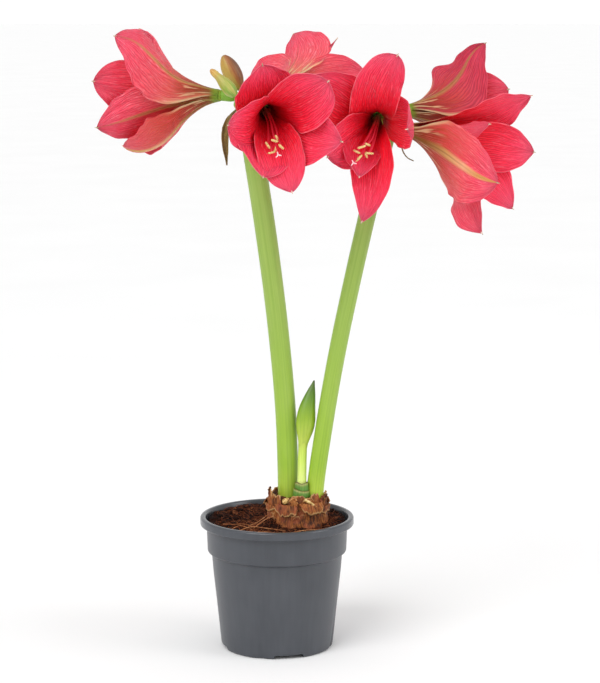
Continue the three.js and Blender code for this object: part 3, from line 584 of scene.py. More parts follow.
def bulb_core_mesh():
    """The neck under its loose scales: ridged rings of cut leaf bases on a ragged top."""
    neck = BULB_NECK_RADIUS
    profile = [*BULB_BODY, (neck + 3.4, 99), (neck + 2.2, 104)]
    profile += [(neck + 1 - 0.8 * i / 10, 106 + 2.4 * i) for i in range(11)]
    profile += [(neck * (1 - i / 26), BULB_TOP - 2.5) for i in range(27)]
    bm = spun(profile, BULB_SEGMENTS)
    for vert in bm.verts:
        x, y, z = vert.co
        radius, turn = math.hypot(x, y), math.atan2(y, x)
        if z > 105:
            around = Vector((6 * math.cos(turn), 6 * math.sin(turn), z * 0.16))
            folds = 1.3 * noise.noise(around) + 0.7 * noise.noise(around * 3.1)
            radius += (folds - 1.1) * min(radius / 12, 1)
        if z > BULB_TOP - 3:
            z += 1.5 * math.cos(radius * 1.9 + 2 * math.sin(turn * 2)) - 4.5 * (1 - radius / neck)
            z += 1.8 * noise.noise(Vector((x, y, 0)) * 0.3)
        vert.co = on_neck(turn, radius, z)
    return bm


def rough(seed, x, y, z):
    return noise.noise(seed + Vector((x, y, z)))


def add_scale(bm, turn, spread, section, tone):
    """One papery scale: a crumpled sheet round the neck, its corners rounded and its edge torn."""
    tone_layer = bm.verts.layers.float["tone"]
    seed = Vector((turn * 0.7, spread * 0.3, 10 * tone))
    outs, heights = zip(*section)
    for vert, t, s in add_grid(bm, 24, 22):
        torn = 0.16 * rough(seed, t * 3.4, 0, 0) + 0.08 * rough(seed, t * 11, 4, 0)
        reach = s * (1 + torn - 0.26 * abs(t) ** 3)
        sway = 5 * rough(seed, 0, s * 2, 9)
        angle = math.radians(turn + (spread / 2) * t * (1 - 0.12 * s) + sway)
        crumple = 1.1 * rough(seed, t * 2.6, s * 2, 5) + 0.5 * rough(seed, t * 7, s * 5, 2)
        lifting = 1.1 * max(abs(t) - 0.7, 0) / 0.3
        out = between(outs, reach) + (crumple + lifting) * (0.3 + 0.7 * s)
        vert.co = on_neck(angle, BULB_NECK_RADIUS + out, between(heights, reach) + 0.6 * crumple * s)
        vert[tone_layer] = tone


def papery_scale():
    """Dry tunic: dark streaks run up each scale, and its torn edge is thin and paler."""
    finish = Finish("papery_bulb_scale", 0.6)
    across, along, _ = finish.axes(finish.uv())
    tone = finish.attribute("tone")
    spot = finish.spot(across, along, tone)
    streaks = finish.noise(spot, (22, 2.2, 40), 5, 0.7)
    patches = finish.noise(finish.place, (190, 190, 150), 4, 0.6)
    mottle = finish.mixed(streaks, 0.6, patches, 0.4)
    mottle = finish.times_add(finish.maths("SUBTRACT", tone, 0.5), 0.16, mottle)
    colour = finish.ramp(mottle, (0.32, 24, 10, 6), (0.43, 78, 38, 16), (0.51, 138, 76, 32),
                         (0.6, 176, 108, 52), (0.7, 204, 146, 88), (0.82, 232, 196, 144))
    blush = finish.fade(finish.noise(finish.place, (110, 110, 80), 2), 0.48, 0.6)
    colour = finish.over(colour, blush, 0.4, 168, 84, 56)
    cracks = finish.fade(finish.noise(spot, (60, 4, 40), 3, 0.6), 0.56, 0.68)
    colour = finish.over(colour, cracks, 0.75, 40, 18, 10)
    edge = finish.times(finish.fade(along, 0.9, 0.98), finish.fade(tone, 0.2, 0.6))
    colour = finish.over(colour, edge, 0.6, 220, 178, 120)
    return finish.done(colour, finish.maths("ADD", streaks, patches), 0.8, {"Specular IOR Level": 0.3})


def speckled(name, roughness, grain, depth, *stops, inputs=None):
    """A material whose colour and relief follow one fine grain."""
    finish = Finish(name, roughness)
    spots = finish.grain(*grain)
    return finish.done(finish.ramp(spots, *stops), spots, depth, inputs)


def thicken(piece, thickness):
    """Gives a sheet its thickness in millimetres, half of it on each side."""
    sheet = piece.modifiers.new("thickness", "SOLIDIFY")
    sheet.thickness = thickness * MM
    sheet.offset = 0
    return sheet


scale_material = papery_scale()
bulb_core = new_piece("bulb_neck", bulb_core_mesh(), scale_material)
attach(bulb_core, "root")
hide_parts("bulb")

scales = new_mesh()
scales.verts.layers.float.new("tone")
for scale in SCALES:
    add_scale(scales, *scale)
scale_piece = new_piece("bulb_scales", scales, scale_material)
thicken(scale_piece, SCALE_THICKNESS)
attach(scale_piece, "root")

# One thick leaf base was cut through and shows its creamy flesh, and a thin one lies along the
# neck in front of it.
THICK_BASE = [(9, -17, 126), (8, -21.5, 129), (7.4, -25.4, 131)]
THIN_BASE = [on_neck(math.radians(-77), 23.6, 132), on_neck(math.radians(-66), 24.6, 129),
             on_neck(math.radians(-53), 24.4, 125)]
flesh = speckled("cut_bulb_flesh", 0.5, (420, 4), 0.2, (0.38, 128, 84, 40), (0.5, 204, 164, 92),
                 (0.66, 236, 214, 160))
cut_base = new_mesh()
grow_stalk(cut_base, THICK_BASE, lambda s: 2.9 * min(1, 6 * (1.02 - s)) ** 0.4, 28, 30,
           lambda angle, s: 1 + 0.16 * math.cos(2 * angle + 1))
grow_stalk(cut_base, THIN_BASE, lambda s: 1.5 - 0.5 * s, 14, 24)
cut_piece = new_piece("cut_leaf_base", cut_base, flesh)
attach(cut_piece, "root")

# ---- Flower stalks -------------------------------------------------------------------------
# Two thick leafless stalks grow out of the neck.  They are smooth and waxy, pale green with fine
# lengthwise lines, yellower at the foot.  Each ends in a head of pedicels, one for each flower,
# and a pedicel ends in the three-lobed ovary that the flower sits on.
SCAPE_LEFT_RADIUS = 8.7
SCAPE_RIGHT_RADIUS = 7.2
UMBEL_LEFT = Vector((-25, -8, 459))
UMBEL_RIGHT = Vector((92.5, 0, 444))
SCAPE_LEFT_PATH = [
    (9.5, -1, 106.3), (9.5, -1, 134), (7.5, -3, 200), (1, -5, 275), (-9, -6, 355), (-24, -8, 454),
]
SCAPE_RIGHT_PATH = [
    (32, -12, 106.3), (32, -12, 134), (40, -11, 193), (50.5, -9, 254), (63, -6, 314), (77, -3, 376),
    (91.5, 0, 438),
]
PEDICEL_RADIUS = 2.9
OVARY_LENGTH = 15
OVARY_RADIUS = 4.8
TUBE_DEPTH = 2.3      # from the top of an ovary to where a bloom's tepals begin
OVARY_OUTLINE = [2.4, 3.0, 3.8, 4.5, OVARY_RADIUS, OVARY_RADIUS, 4.6, 4.4, 4.3]
CROWN_HEIGHT = 7      # half the height of the knob that the pedicels leave
SCAPE_SWELL = [1.0, 1.0, 1.0, 1.0, 0.99, 0.99, 0.99, 1.0, 1.0, 1.0, 1.06]

# Where each bloom's tube begins, and where its mouth looks: yaw from the front towards +X, and
# pitch up, in degrees.
BLOOM_PLACES = {
    "left": ((-47, 2, 466), -94, 2),
    "front_left": ((-11, -44, 460), 14, -14),
    "back": ((5, 28, 471), 156, 12),
    "front_right": ((83, -16, 451), -5, -12),
    "upper_right": ((107, 3, 453.5), 122, 4),
    "lower_right": ((105, -10, 439.5), 64, -11),
}


def bloom_axes(name):
    """A bloom's base, the way its mouth looks, its up, and the side that a viewer sees on the left."""
    place, yaw, pitch = BLOOM_PLACES[name]
    yaw, pitch = math.radians(yaw), math.radians(pitch)
    level = math.cos(pitch)
    forward = Vector((math.sin(yaw) * level, -math.cos(yaw) * level, math.sin(pitch)))
    up = (Vector((0, 0, 1)) - forward * forward.z).normalized()
    return Vector(place), forward, up, forward.cross(up)


def add_pedicel(bm, umbel, name):
    """The stalk of one bloom, with the three-lobed ovary at its end."""
    base, forward, _, _ = bloom_axes(name)
    foot = base - forward * (TUBE_DEPTH + OVARY_LENGTH)
    knee = umbel.lerp(foot, 0.5) + Vector((0, 0, 1.5))
    grow_stalk(bm, [umbel, knee, foot, foot + forward * 4],
               lambda s: PEDICEL_RADIUS * (1.25 - 0.5 * s + 0.4 * s * s), 24, 24)
    grow_stalk(bm, [foot - forward, foot + forward * 7, base - forward],
               lambda s: between(OVARY_OUTLINE, s), 36, 24,
               lambda angle, s: 1 + 0.07 * math.sin(math.pi * s) * math.cos(3 * angle))


def see_through(weight, *radius, depth):
    """Light that sinks into living tissue: its share, its reach by colour, and its depth."""
    return {"Subsurface Weight": weight, "Subsurface Radius": radius, "Subsurface Scale": depth * MM}


def waxy_green():
    """Waxy green skin with fine lines along it, yellower at the foot."""
    finish = Finish("waxy_green_stem", 0.38)
    lines = finish.noise(finish.uv(), (90, 2.2, 1), 4, 0.6)
    clouds = finish.noise(finish.place, (60, 60, 16), 3)
    colour = finish.ramp(finish.rise(0.125, 0.46), (0.0, 184, 206, 70), (0.1, 152, 186, 56),
                         (0.45, 150, 178, 80), (0.8, 146, 172, 84), (0.96, 132, 166, 66),
                         (1.0, 124, 176, 50))
    colour = finish.over(colour, finish.fade(lines, 0.42, 0.62), 0.35, 112, 146, 48)
    colour = finish.over(colour, finish.fade(clouds, 0.45, 0.75), 0.3, 164, 186, 98)
    return finish.done(colour, lines, 0.12, {
        "Specular IOR Level": 0.3, **see_through(0.2, 0.8, 1.0, 0.3, depth=3),
    })


def scape_mesh(path, radius, umbel, names):
    """A stalk with the crown of its head, and a pedicel for each of its blooms."""
    bm = new_mesh()
    path = [*path, umbel + Vector((0, 0, 3))]
    grow_stalk(bm, path, lambda s: radius * between(SCAPE_SWELL, s), 64, 120,
               lambda angle, s: 1 + 0.006 * math.cos(7 * angle) + 0.004 * math.cos(16 * angle + 3 * s))
    crown = [(umbel.x, umbel.y, umbel.z + rise) for rise in (-CROWN_HEIGHT, 0, CROWN_HEIGHT)]
    grow_stalk(bm, crown, lambda s: (radius + 1) * math.sqrt(max(1 - (2 * s - 1) ** 2, 0)), 40, 20,
               lambda angle, s: 1 + 0.03 * math.sin(5 * angle + 2 * s))
    for name in names:
        add_pedicel(bm, umbel, name)
    return bm


stem_material = waxy_green()
stalks = scape_mesh(SCAPE_LEFT_PATH, SCAPE_LEFT_RADIUS, UMBEL_LEFT, ["left", "front_left", "back"])
BUD_STALK_RADIUS = 2.6
BUD_LARGE_BASE = Vector((-29, 4, 470.5))
BUD_SMALL_BASE = Vector((-33, -18, 466))
for base in (BUD_LARGE_BASE, BUD_SMALL_BASE):
    bud_stalk = [UMBEL_LEFT, UMBEL_LEFT.lerp(base, 0.5), base]
    grow_stalk(stalks, bud_stalk, lambda s: BUD_STALK_RADIUS, 24, 12)
scape_left = new_piece("flower_stalk_left", stalks, stem_material)
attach(scape_left, "root")
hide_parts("scape_left")

stalks = scape_mesh(SCAPE_RIGHT_PATH, SCAPE_RIGHT_RADIUS, UMBEL_RIGHT,
                    ["front_right", "upper_right", "lower_right"])
scape_right = new_piece("flower_stalk_right", stalks, stem_material)
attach(scape_right, "root")
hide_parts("scape_right")

# ---- Young stalk ---------------------------------------------------------------------------
# A third, short stalk is just coming up between the others.  Its spear-shaped bud is still
# closed in its spathe, and two cut leaf bases clasp its foot.
SCAPE_YOUNG_RADIUS = 3.8
SCAPE_YOUNG_PATH = [(21, -15.5, 106.3), (21, -15.5, 134), (21.2, -12.5, 155), (22, -10, 181)]
BUD_YOUNG_PATH = [
    (21.6, -10.3, 172), (23.6, -10, 188), (25.4, -9.4, 205), (28.6, -8.4, 219), (31.4, -8, 230),
]
BUD_YOUNG_SEAM = 4.4             # angle of the groove where its two spathe leaves meet
BUD_YOUNG_OUTLINE = [3.5, 3.9, 5.2, 6.6, 7.4, 7.5, 7.0, 6.2, 5.2, 4.1, 2.9, 1.6, 0.5]

# Each cut leaf base: the heights of its foot and its edge, its radius, and how far it leans out of
# line with the other.
LEAF_SHEATHS = [(112, 139, 6.4, 0.4), (112, 144.5, 5, 2.2)]
SHEATH_X, SHEATH_Y = 21, -15.3
ORIGIN = Vector((0, 0, 0))
SHEATH_THICKNESS = 1.1


def young_green():
    """Tender green skin, palest where the stalk leaves the neck and purple at the bud's tip."""
    finish = Finish("young_green", 0.36)
    lines = finish.noise(finish.uv(), (60, 2, 1), 4, 0.6)
    colour = finish.ramp(finish.rise(0.13, 0.232), (0.0, 120, 170, 60), (0.1, 140, 184, 62),
                         (0.14, 226, 240, 140), (0.34, 206, 230, 96), (0.5, 192, 210, 80),
                         (0.68, 142, 174, 40), (0.84, 96, 136, 38), (0.96, 78, 98, 48),
                         (1.0, 52, 40, 44))
    colour = finish.over(colour, finish.fade(lines, 0.4, 0.65), 0.3, 96, 138, 36)
    return finish.done(colour, lines, 0.15, see_through(0.2, 0.8, 1.0, 0.3, depth=2))


def cut_sheath():
    """Green leaf base, cut off and drying along its edge."""
    finish = Finish("cut_leaf_base", 0.42)
    uv = finish.uv()
    lines = finish.noise(uv, (70, 3, 1), 4)
    colour = finish.ramp(finish.axes(uv)[1], (0.0, 150, 190, 70), (0.6, 84, 138, 40), (0.9, 98, 144, 50),
                         (0.97, 160, 160, 84), (1.0, 110, 76, 38))
    colour = finish.over(colour, finish.fade(lines, 0.42, 0.6), 0.6, 52, 98, 28)
    return finish.done(colour, lines, 0.2)


young = new_mesh()
grow_stalk(young, SCAPE_YOUNG_PATH, lambda s: SCAPE_YOUNG_RADIUS * (1.04 - 0.08 * s), 40, 60)
grow_stalk(young, BUD_YOUNG_PATH, lambda s: between(BUD_YOUNG_OUTLINE, s), 48, 64,
           lambda angle, s: (1 + 0.1 * math.cos(2 * angle + 0.6)
                             - 0.05 * math.exp(-((angle - BUD_YOUNG_SEAM) / 0.09) ** 2)))
young_stalk = new_piece("young_stalk", young, young_green())
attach(young_stalk, "root")
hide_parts("scape_young")

sheaths = new_mesh()
for foot, top, radius, lean in LEAF_SHEATHS:
    for vert, t, s in add_grid(sheaths, 40, 14):
        angle = math.radians(262 + 14 * lean) + t * math.radians(150)
        torn = 1.5 * rough(ORIGIN, 3 * t, radius, 0) - 1.2 * abs(t) ** 4
        reach = radius + 0.9 * math.sin(3.1 * s) + 1.1 * rough(ORIGIN, 3.4 * t, 3 * s, radius)
        vert.co = (SHEATH_X + reach * math.cos(angle), SHEATH_Y + reach * math.sin(angle),
                   foot + (top - foot + torn) * s)
sheath_piece = new_piece("cut_leaf_bases", sheaths, cut_sheath())
thicken(sheath_piece, SHEATH_THICKNESS)
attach(sheath_piece, "root")

# ---- Buds and withered spathe --------------------------------------------------------------
# Two flower buds on the left head are still closed.  The spathe that once held each head has
# withered: a brown curled leaf hangs from the left one and a thin thread from the right one.
BUD_LARGE_TIP = Vector((-43.6, 2, 499))
BUD_LARGE_OUTLINE = [2.2, 3.8, 5.2, 6.4, 7.2, 7.6, 7.7, 7.6, 7.2, 6.5, 5.4, 3.8, 1.4]
BUD_SMALL_PATH = [(-33, -18, 466), (-39.5, -17.7, 474), (-46, -17.3, 481), (-53.5, -17, 488)]
BUD_SMALL_OUTLINE = [2.0, 4.0, 5.2, 5.6, 5.6, 5.3, 4.8, 4.1, 3.4, 2.9, 2.9, 2.5, 1.0]
SPATHE_LEFT_PATH = [
    (-31.9, -12.8, 455.5), (-37.5, -17.5, 448.5), (-41, -18, 438), (-42, -18, 424), (-40.5, -18, 410),
]
SPATHE_LEFT_HALVES = [1.2, 3.5, 4.1, 3.8, 2.8, 0.6]    # half its width along it
SPATHE_LEFT_TURNS = [-55, -20, 10, 45]                 # how its width turns, in degrees from +X
SPATHE_LEFT_CURL = 0.5
SPATHE_THICKNESS = 0.5
SPATHE_RIGHT_PATH = [
    (95.9, -5.2, 432), (101.8, -8, 427.5), (104.5, -9, 420), (108, -9, 415.5), (113.3, -9, 412.8),
]


def bud_skin(name, stripe, *stops, sunned=False):
    """Colour by the share of a bud's length, with stripes along it; a sunned bud blushes on one side."""
    finish = Finish(name, 0.45)
    uv = finish.uv()
    lines = finish.noise(uv, (26, 1.6, 1), 4, 0.6)
    colour = finish.ramp(finish.axes(uv)[1], *stops)
    colour = finish.over(colour, finish.fade(lines, 0.42, 0.6), 0.75, *stripe)
    if sunned:
        x, _, z = finish.axes(finish.place)
        across = finish.times_add(z, 0.512, x)
        across = finish.fade(finish.times_add(lines, 0.006, across), 0.208, 0.223)
        blush = finish.ramp(across, (0.0, 196, 180, 88), (0.35, 184, 148, 70), (0.6, 156, 88, 46),
                            (1.0, 84, 34, 30))
        colour = finish.blend(0.75, colour, blush)
    return finish.done(colour, lines, 0.3)


bud = new_mesh()
grow_stalk(bud, [BUD_LARGE_BASE, BUD_LARGE_BASE.lerp(BUD_LARGE_TIP, 0.5), BUD_LARGE_TIP],
           lambda s: between(BUD_LARGE_OUTLINE, s), 60, 48,
           lambda angle, s: 1 + 0.05 * math.cos(3 * angle) - 0.07 * abs(math.cos(1.5 * angle)) ** 12)
olive = bud_skin("olive_bud_skin", (150, 84, 58), (0.0, 136, 140, 60), (0.2, 168, 140, 70),
                 (0.6, 184, 150, 82), (0.9, 150, 118, 60), (1.0, 70, 52, 34), sunned=True)
bud_large = new_piece("olive_bud", bud, olive)
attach(bud_large, "root")
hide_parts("bud_large")

bud = new_mesh()
grow_stalk(bud, BUD_SMALL_PATH, lambda s: between(BUD_SMALL_OUTLINE, s), 48, 48,
           lambda angle, s: 1 + 0.05 * math.cos(3 * angle))
yellow_green = bud_skin("green_bud_skin", (206, 194, 112), (0.0, 108, 162, 50), (0.35, 138, 166, 58),
                        (0.66, 160, 160, 76), (0.84, 206, 166, 84), (1.0, 190, 120, 60))
bud_small = new_piece("green_bud", bud, yellow_green)
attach(bud_small, "root")
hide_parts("bud_small")


def dry_leaf():
    """Withered leaf, brown with paler lines along it."""
    finish = Finish("withered_spathe", 0.6)
    lines = finish.noise(finish.uv(), (22, 3, 1), 4, 0.65)
    colour = finish.ramp(lines, (0.34, 58, 42, 22), (0.48, 112, 88, 40), (0.6, 150, 122, 62),
                         (0.7, 178, 152, 92))
    return finish.done(colour, lines, 0.4)


def hanging_strip():
    """The left spathe: a dry strip, its edges curled in and its width turning as it hangs."""
    rows = 60
    bm = new_mesh()
    line = smooth_line(SPATHE_LEFT_PATH, rows)
    for vert, t, s in add_grid(bm, 12, rows):
        angle = math.radians(between(SPATHE_LEFT_TURNS, s))
        half = between(SPATHE_LEFT_HALVES, s)
        width = Vector((math.cos(angle), math.sin(angle), 0))
        lift = Vector((-math.sin(angle), math.cos(angle), 0))
        fold = SPATHE_LEFT_CURL * half * (1 - math.cos(1.9 * t))
        fold += 0.35 * half * rough(ORIGIN, t * 2, s * 7, 0.5)
        vert.co = line[round(s * rows)] + width * (half * math.sin(1.35 * t) / 1.35) - lift * fold
    return bm


dry = dry_leaf()
spathe_left = new_piece("withered_spathe_left", hanging_strip(), dry)
thicken(spathe_left, SPATHE_THICKNESS)
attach(spathe_left, "root")
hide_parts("spathe_left")

thread = new_mesh()
grow_stalk(thread, SPATHE_RIGHT_PATH, lambda s: 0.75 - 0.35 * s, 10, 48)
spathe_right = new_piece("withered_spathe_right", thread, dry)
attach(spathe_right, "root")
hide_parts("spathe_right")

# ---- Blooms --------------------------------------------------------------------------------
# Each bloom is six tepals joined in a short tube: three broad sepals outside, three petals inside.
# The blades are thin and velvety, coral red in the mouth and paler outside, with fine veins along
# them, a yellow-green rib outside and a small pale horn at the tip.
CUP_DEPTH = 2
TEPAL_ROWS = 60
TEPAL_COLUMNS = 32
TEPAL_THICKNESS = 0.9
TIP_HALF = 0.35
EAR_REACH = 0.08      # share of a tepal's length that a lobe on its margin takes up
LOOKS = ("rib", "brick", "dull")

# A tepal starts `ring` off the bloom's axis.  Its centre line follows the angles in `heading`, in
# degrees off the axis at even steps from the base to the tip; `cup` is the half angle that the blade
# wraps.  `claw` is the width at the base and `widest` the place of the full width, as shares, and the
# powers in `point` shape the tip.  `keel` is the depth of the rib, and `wave` and `waves` the height
# and number of the ripples.  Towards the tip `twist` turns the blade and `bend` swings its line.
# `lop` makes one side wider than the other, and `ear` is the place and size of a lobe on the narrow
# side.
# `rib` is how broad and long the cream rib outside is, `brick` how far up the brick red reaches, and
# the last look how much painted shade darkens the outside to a purple red, as if in shadow.
SEPAL = {
    "length": 104, "half": 24, "ring": 4.7, "claw": 0.17, "widest": 0.6, "point": (2.1, 0.85),
    "keel": 1.3, "wave": 1.5, "waves": 1.6, "heading": (8, 16, 30, 46, 60),
    "cup": (62, 46, 34, 24, 30), "twist": 0, "bend": 0, "lop": 0, "ear": (0.5, 0),
    "rib": 1.15, "brick": 0.58, "dull": 0,
}
PETAL = {
    **SEPAL, "length": 102, "half": 23, "ring": 3.7, "claw": 0.15, "widest": 0.62,
    "point": (2.4, 0.75), "keel": 0.9, "wave": 2.2, "waves": 1.9, "heading": (5, 13, 27, 44, 58),
    "cup": (60, 64, 58, 34, 14), "rib": 0.6, "brick": 0.34,
}


def sepal(turn, **change):
    return {**SEPAL, "turn": turn, **change}


def petal(turn, **change):
    return {**PETAL, "turn": turn, **change}


# The tepals of each bloom by their turn about its axis from the top.
BLOOMS = {
    "left": [
        sepal(322, length=103, half=29, heading=(8, 18, 54, 54, 6), cup=(62, 46, 38, 30, 26), twist=-9,
              widest=0.52, point=(2.4, 0.72), lop=-0.1),
        petal(284, length=106, half=25, heading=(5, 10, 20, 30, 28)),
        sepal(236, length=106, half=26, heading=(8, 16, 32, 36, 26), cup=(62, 46, 30, 24, 24)),
        petal(200, length=95, half=29, heading=(14, 40, 58, 26, -30), cup=(60, 60, 60, 56, 40),
              widest=0.66, point=(3, 0.65), rib=2.6, brick=1.3),
        sepal(152, length=92, heading=(14, 38, 60, 30, -10)),
        petal(34, length=97, half=24, heading=(8, 18, 58, 58, 34), point=(1.8, 1)),
    ],
    "front_left": [
        sepal(16, length=74, half=26, heading=(8, 18, 40, 62, 80), point=(3, 0.7), lop=0.1),
        petal(80, length=91, half=25, heading=(5, 14, 28, 42, 50)),
        sepal(155, length=88, half=26, heading=(8, 14, 22, 28, 36), lop=-0.2, point=(2.8, 0.65)),
        petal(189, length=99, half=21, heading=(5, 10, 22, 42, 52), lop=-0.14),
        sepal(262, length=92, half=27, heading=(8, 14, 26, 42, 52), twist=-16, lop=-0.2),
        petal(321, length=95, half=25, heading=(5, 14, 32, 52, 62), twist=-18, point=(3, 0.65)),
    ],
    "back": [
        sepal(341, length=98, half=25, heading=(8, 10, 16, 26, 30), cup=(62, 46, 24, 14, 10), bend=-30,
              lop=0.2, point=(1.7, 0.8), rib=0.5, brick=0.3),
        petal(42, length=80, half=9, heading=(5, 8, 16, 36, 96), widest=0.45, point=(1.2, 1.3)),
        sepal(98, length=88, half=21, heading=(8, 14, 30, 46, 50)),
        petal(160),
        sepal(220),
        petal(258, length=114, half=22, heading=(5, 18, 42, 60, 66)),
    ],
    "front_right": [
        petal(354, length=93, half=22, heading=(5, 20, 50, 72, 96), bend=-22, widest=0.46,
              point=(4, 0.6), lop=0.3, twist=12),
        sepal(277, length=66, heading=(8, 20, 46, 40, -60), lop=0.12),
        petal(198, length=114, half=20, heading=(5, 12, 34, 60, 60), bend=-44, point=(1.4, 0.85),
              lop=-0.1),
        sepal(160, length=86, half=17, heading=(8, 12, 18, 24, 25), lop=-0.3),
        petal(112, length=85, heading=(5, 14, 26, 36, 40)),
        sepal(46, length=98, half=26, heading=(8, 24, 46, 64, 80), twist=10),
    ],
    "upper_right": [
        # The top sepal and the blades under it are darkened with painted shade: a share of the darker
        # purple red, and on the lower three a brick red that reaches far up, for the shadow they lie in.
        sepal(20, length=92, half=29, heading=(4, 12, 42, 72, 20), cup=(62, 40, 14, 8, 8), twist=10,
              widest=0.5, point=(1.4, 0.9), lop=0.28, ear=(0.54, 0.65), rib=1.4, brick=0.7, dull=0.9),
        petal(72, length=88, half=25, heading=(5, 12, 22, 36, 40), brick=0.8, dull=0.3),
        sepal(140, length=98, heading=(18, 26, 28, 34, 30), brick=1.1, dull=0.5),
        petal(195, length=104, heading=(22, 28, 28, 40, 54), brick=0.9, dull=0.5),
        sepal(255),
        petal(318, length=96),
    ],
    "lower_right": [
        petal(40, length=84, half=12, heading=(5, 9, 15, 26, 34), brick=0.6),
        sepal(120, length=108, half=32, heading=(8, 15, 28, 28, 2), cup=(62, 34, 12, 9, 18), twist=-36,
              widest=0.46, point=(2.2, 0.7), lop=0.14, rib=1.8, brick=0.85),
        petal(174, length=112, half=31, heading=(6, 18, 44, 58, 42), cup=(62, 40, 12, 6, 6), twist=-84,
              lop=0.3, widest=0.5, point=(1.8, 1)),
        sepal(218, length=113),
        petal(268, length=113, point=(1.7, 0.8)),
        sepal(322, length=106, half=25, heading=(14, 20, 30, 44, 40)),
    ],
}


def turn_between(first, second, angle):
    """The unit vector `angle` radians round from one of two square axes towards the other."""
    return first * math.cos(angle) + second * math.sin(angle)


def tepal_outline(s, tepal):
    """Half the width of a tepal as a share of its greatest, from the claw to the pointed tip."""
    grow = min(s / tepal["widest"], 1)
    fall = max((s - tepal["widest"]) / (1 - tepal["widest"]), 0)
    swell = (grow * grow * (3 - 2 * grow)) ** 1.15
    body = tepal["claw"] + (1 - tepal["claw"]) * swell
    return body * (1 - fall ** tepal["point"][0]) ** tepal["point"][1]


def add_tepal(bm, axes, tepal):
    """One tepal as a grid laid along its centre line, cupped, ribbed, waved and frilled."""
    base, forward, up, side = axes
    layers = bm.verts.layers
    tint, *looks = (layers.float[name] for name in ("tint", *LOOKS))
    thin = layers.deform.verify()
    turn = math.radians(tepal["turn"])
    out = turn_between(up, side, turn)
    tangent = turn_between(up, side, turn + math.pi / 2)
    centre = base + out * tepal["ring"]
    step = tepal["length"] / TEPAL_ROWS
    rows = []
    for i in range(TEPAL_ROWS + 1):
        s = i / TEPAL_ROWS
        heading = math.radians(between(tepal["heading"], s))
        bend = math.radians(tepal["bend"]) * s * s
        straight = turn_between(forward, out, heading)
        run = turn_between(straight, tangent, bend)
        if i:
            centre = centre + run * step
        flat = turn_between(straight, tangent, bend + math.pi / 2)
        inward = turn_between(forward, out, heading - math.pi / 2)
        twist = math.radians(tepal["twist"]) * s ** 1.5
        width = turn_between(flat, inward, twist)
        lift = turn_between(flat, inward, twist + math.pi / 2)
        cup = math.radians(between(tepal["cup"], s))
        rows.append((centre, width, lift, tepal["half"] * tepal_outline(s, tepal), cup))
    lobe_place, lobe_size = tepal["ear"]
    seed = Vector((tepal["turn"], base.x, base.z))
    for vert, t, s in add_grid(bm, TEPAL_COLUMNS, TEPAL_ROWS):
        point, width, lift, half, cup = rows[round(s * TEPAL_ROWS)]
        lean = math.copysign(tepal["lop"], t * tepal["lop"])
        half = max(half * (1 + lean * min(s / 0.3, 1)), TIP_HALF)
        if t < 0:
            half *= 1 + lobe_size * math.exp(-(((s - lobe_place) / EAR_REACH) ** 2)) * t * t
        free = clamped((s - 0.15) / 0.35)
        broad = min(half / 14, 1)
        ripple = math.sin(2 * math.pi * tepal["waves"] * s + tepal["turn"] + (1.7 if t > 0 else 0))
        keel = tepal["keel"] * math.exp(-((t / 0.16) ** 2)) * min(half / 12, 1) * (1 - s ** 3)
        sway = tepal["wave"] * free * t * t * ripple * broad
        frill = 0.8 * free * abs(t) ** 5 * math.sin(41 * s + tepal["turn"] + 2 * t) * broad
        furrows = 0.16 * math.cos(math.pi * 9 * t) * (1 - t * t) * free * broad * (1 - s ** 4)
        crumple = 1.1 * free * rough(seed, 1.6 * t, 3.2 * s, 0) * broad
        rise = (1 - math.cos(cup * t)) / cup * half - keel + sway + frill + furrows + crumple
        vert.co = point + width * (math.sin(cup * t) / cup * half) + lift * rise
        vert[tint] = (tepal["turn"] * 0.618) % 1
        for name, layer in zip(LOOKS, looks):
            vert[layer] = tepal[name]
        vert[thin][0] = max(0.35, 1 - 0.65 * max(t * t, s ** 6)) if s > 0.02 else 1.0
    tip, _, lift, _, _ = rows[-1]
    horn = [tip - run * 1.8, tip, tip + run * 1.4 + lift * 0.5]
    grow_stalk(bm, horn, lambda s: 0.42 * math.sqrt(max(1 - s * s, 0.02)), 8, 8, slot=2)


class TepalFinish(Finish):
    """A tepal's finish, with the places that its colours follow, its veins, flecks and soft folds."""

    def __init__(self, name, roughness):
        super().__init__(name, roughness)
        across, self.along, _ = self.axes(self.uv())
        self.side = self.maths("ABSOLUTE", self.times_add(across, 2, -1))
        tint, self.rib, self.brick, self.dull = (self.attribute(look) for look in ("tint", *LOOKS))
        spot = self.spot(across, self.along, tint)
        wander = self.noise(spot, (7, 4, 30), 3)
        swayed = self.times_add(wander, 0.12, across)
        waves = self.maths("SINE", self.times(swayed, 170))
        bent = self.spot(swayed, self.along, tint)
        streaks = self.noise(bent, (46, 4, 30), 4, 0.65)
        self.veins = self.fade(self.times_add(waves, 0.14, streaks), 0.46, 0.62)
        self.flecks = self.fade(self.noise(bent, (64, 15, 36), 4, 0.7), 0.5, 0.68)
        self.folds = self.noise(bent, (15, 3, 30), 3, 0.5)
        self.clouds = self.noise(spot, (2.5, 3.5, 40), 3)

    def velvet(self, colour):
        """Ends the finish with the veins sunk in soft folds, and light that sinks into the blade."""
        relief = self.times_add(self.veins, -0.28, self.folds)
        return self.done(colour, relief, 1.3, {
            "Specular IOR Level": 0.2, **see_through(0.3, 1.0, 0.15, 0.2, depth=3),
        })


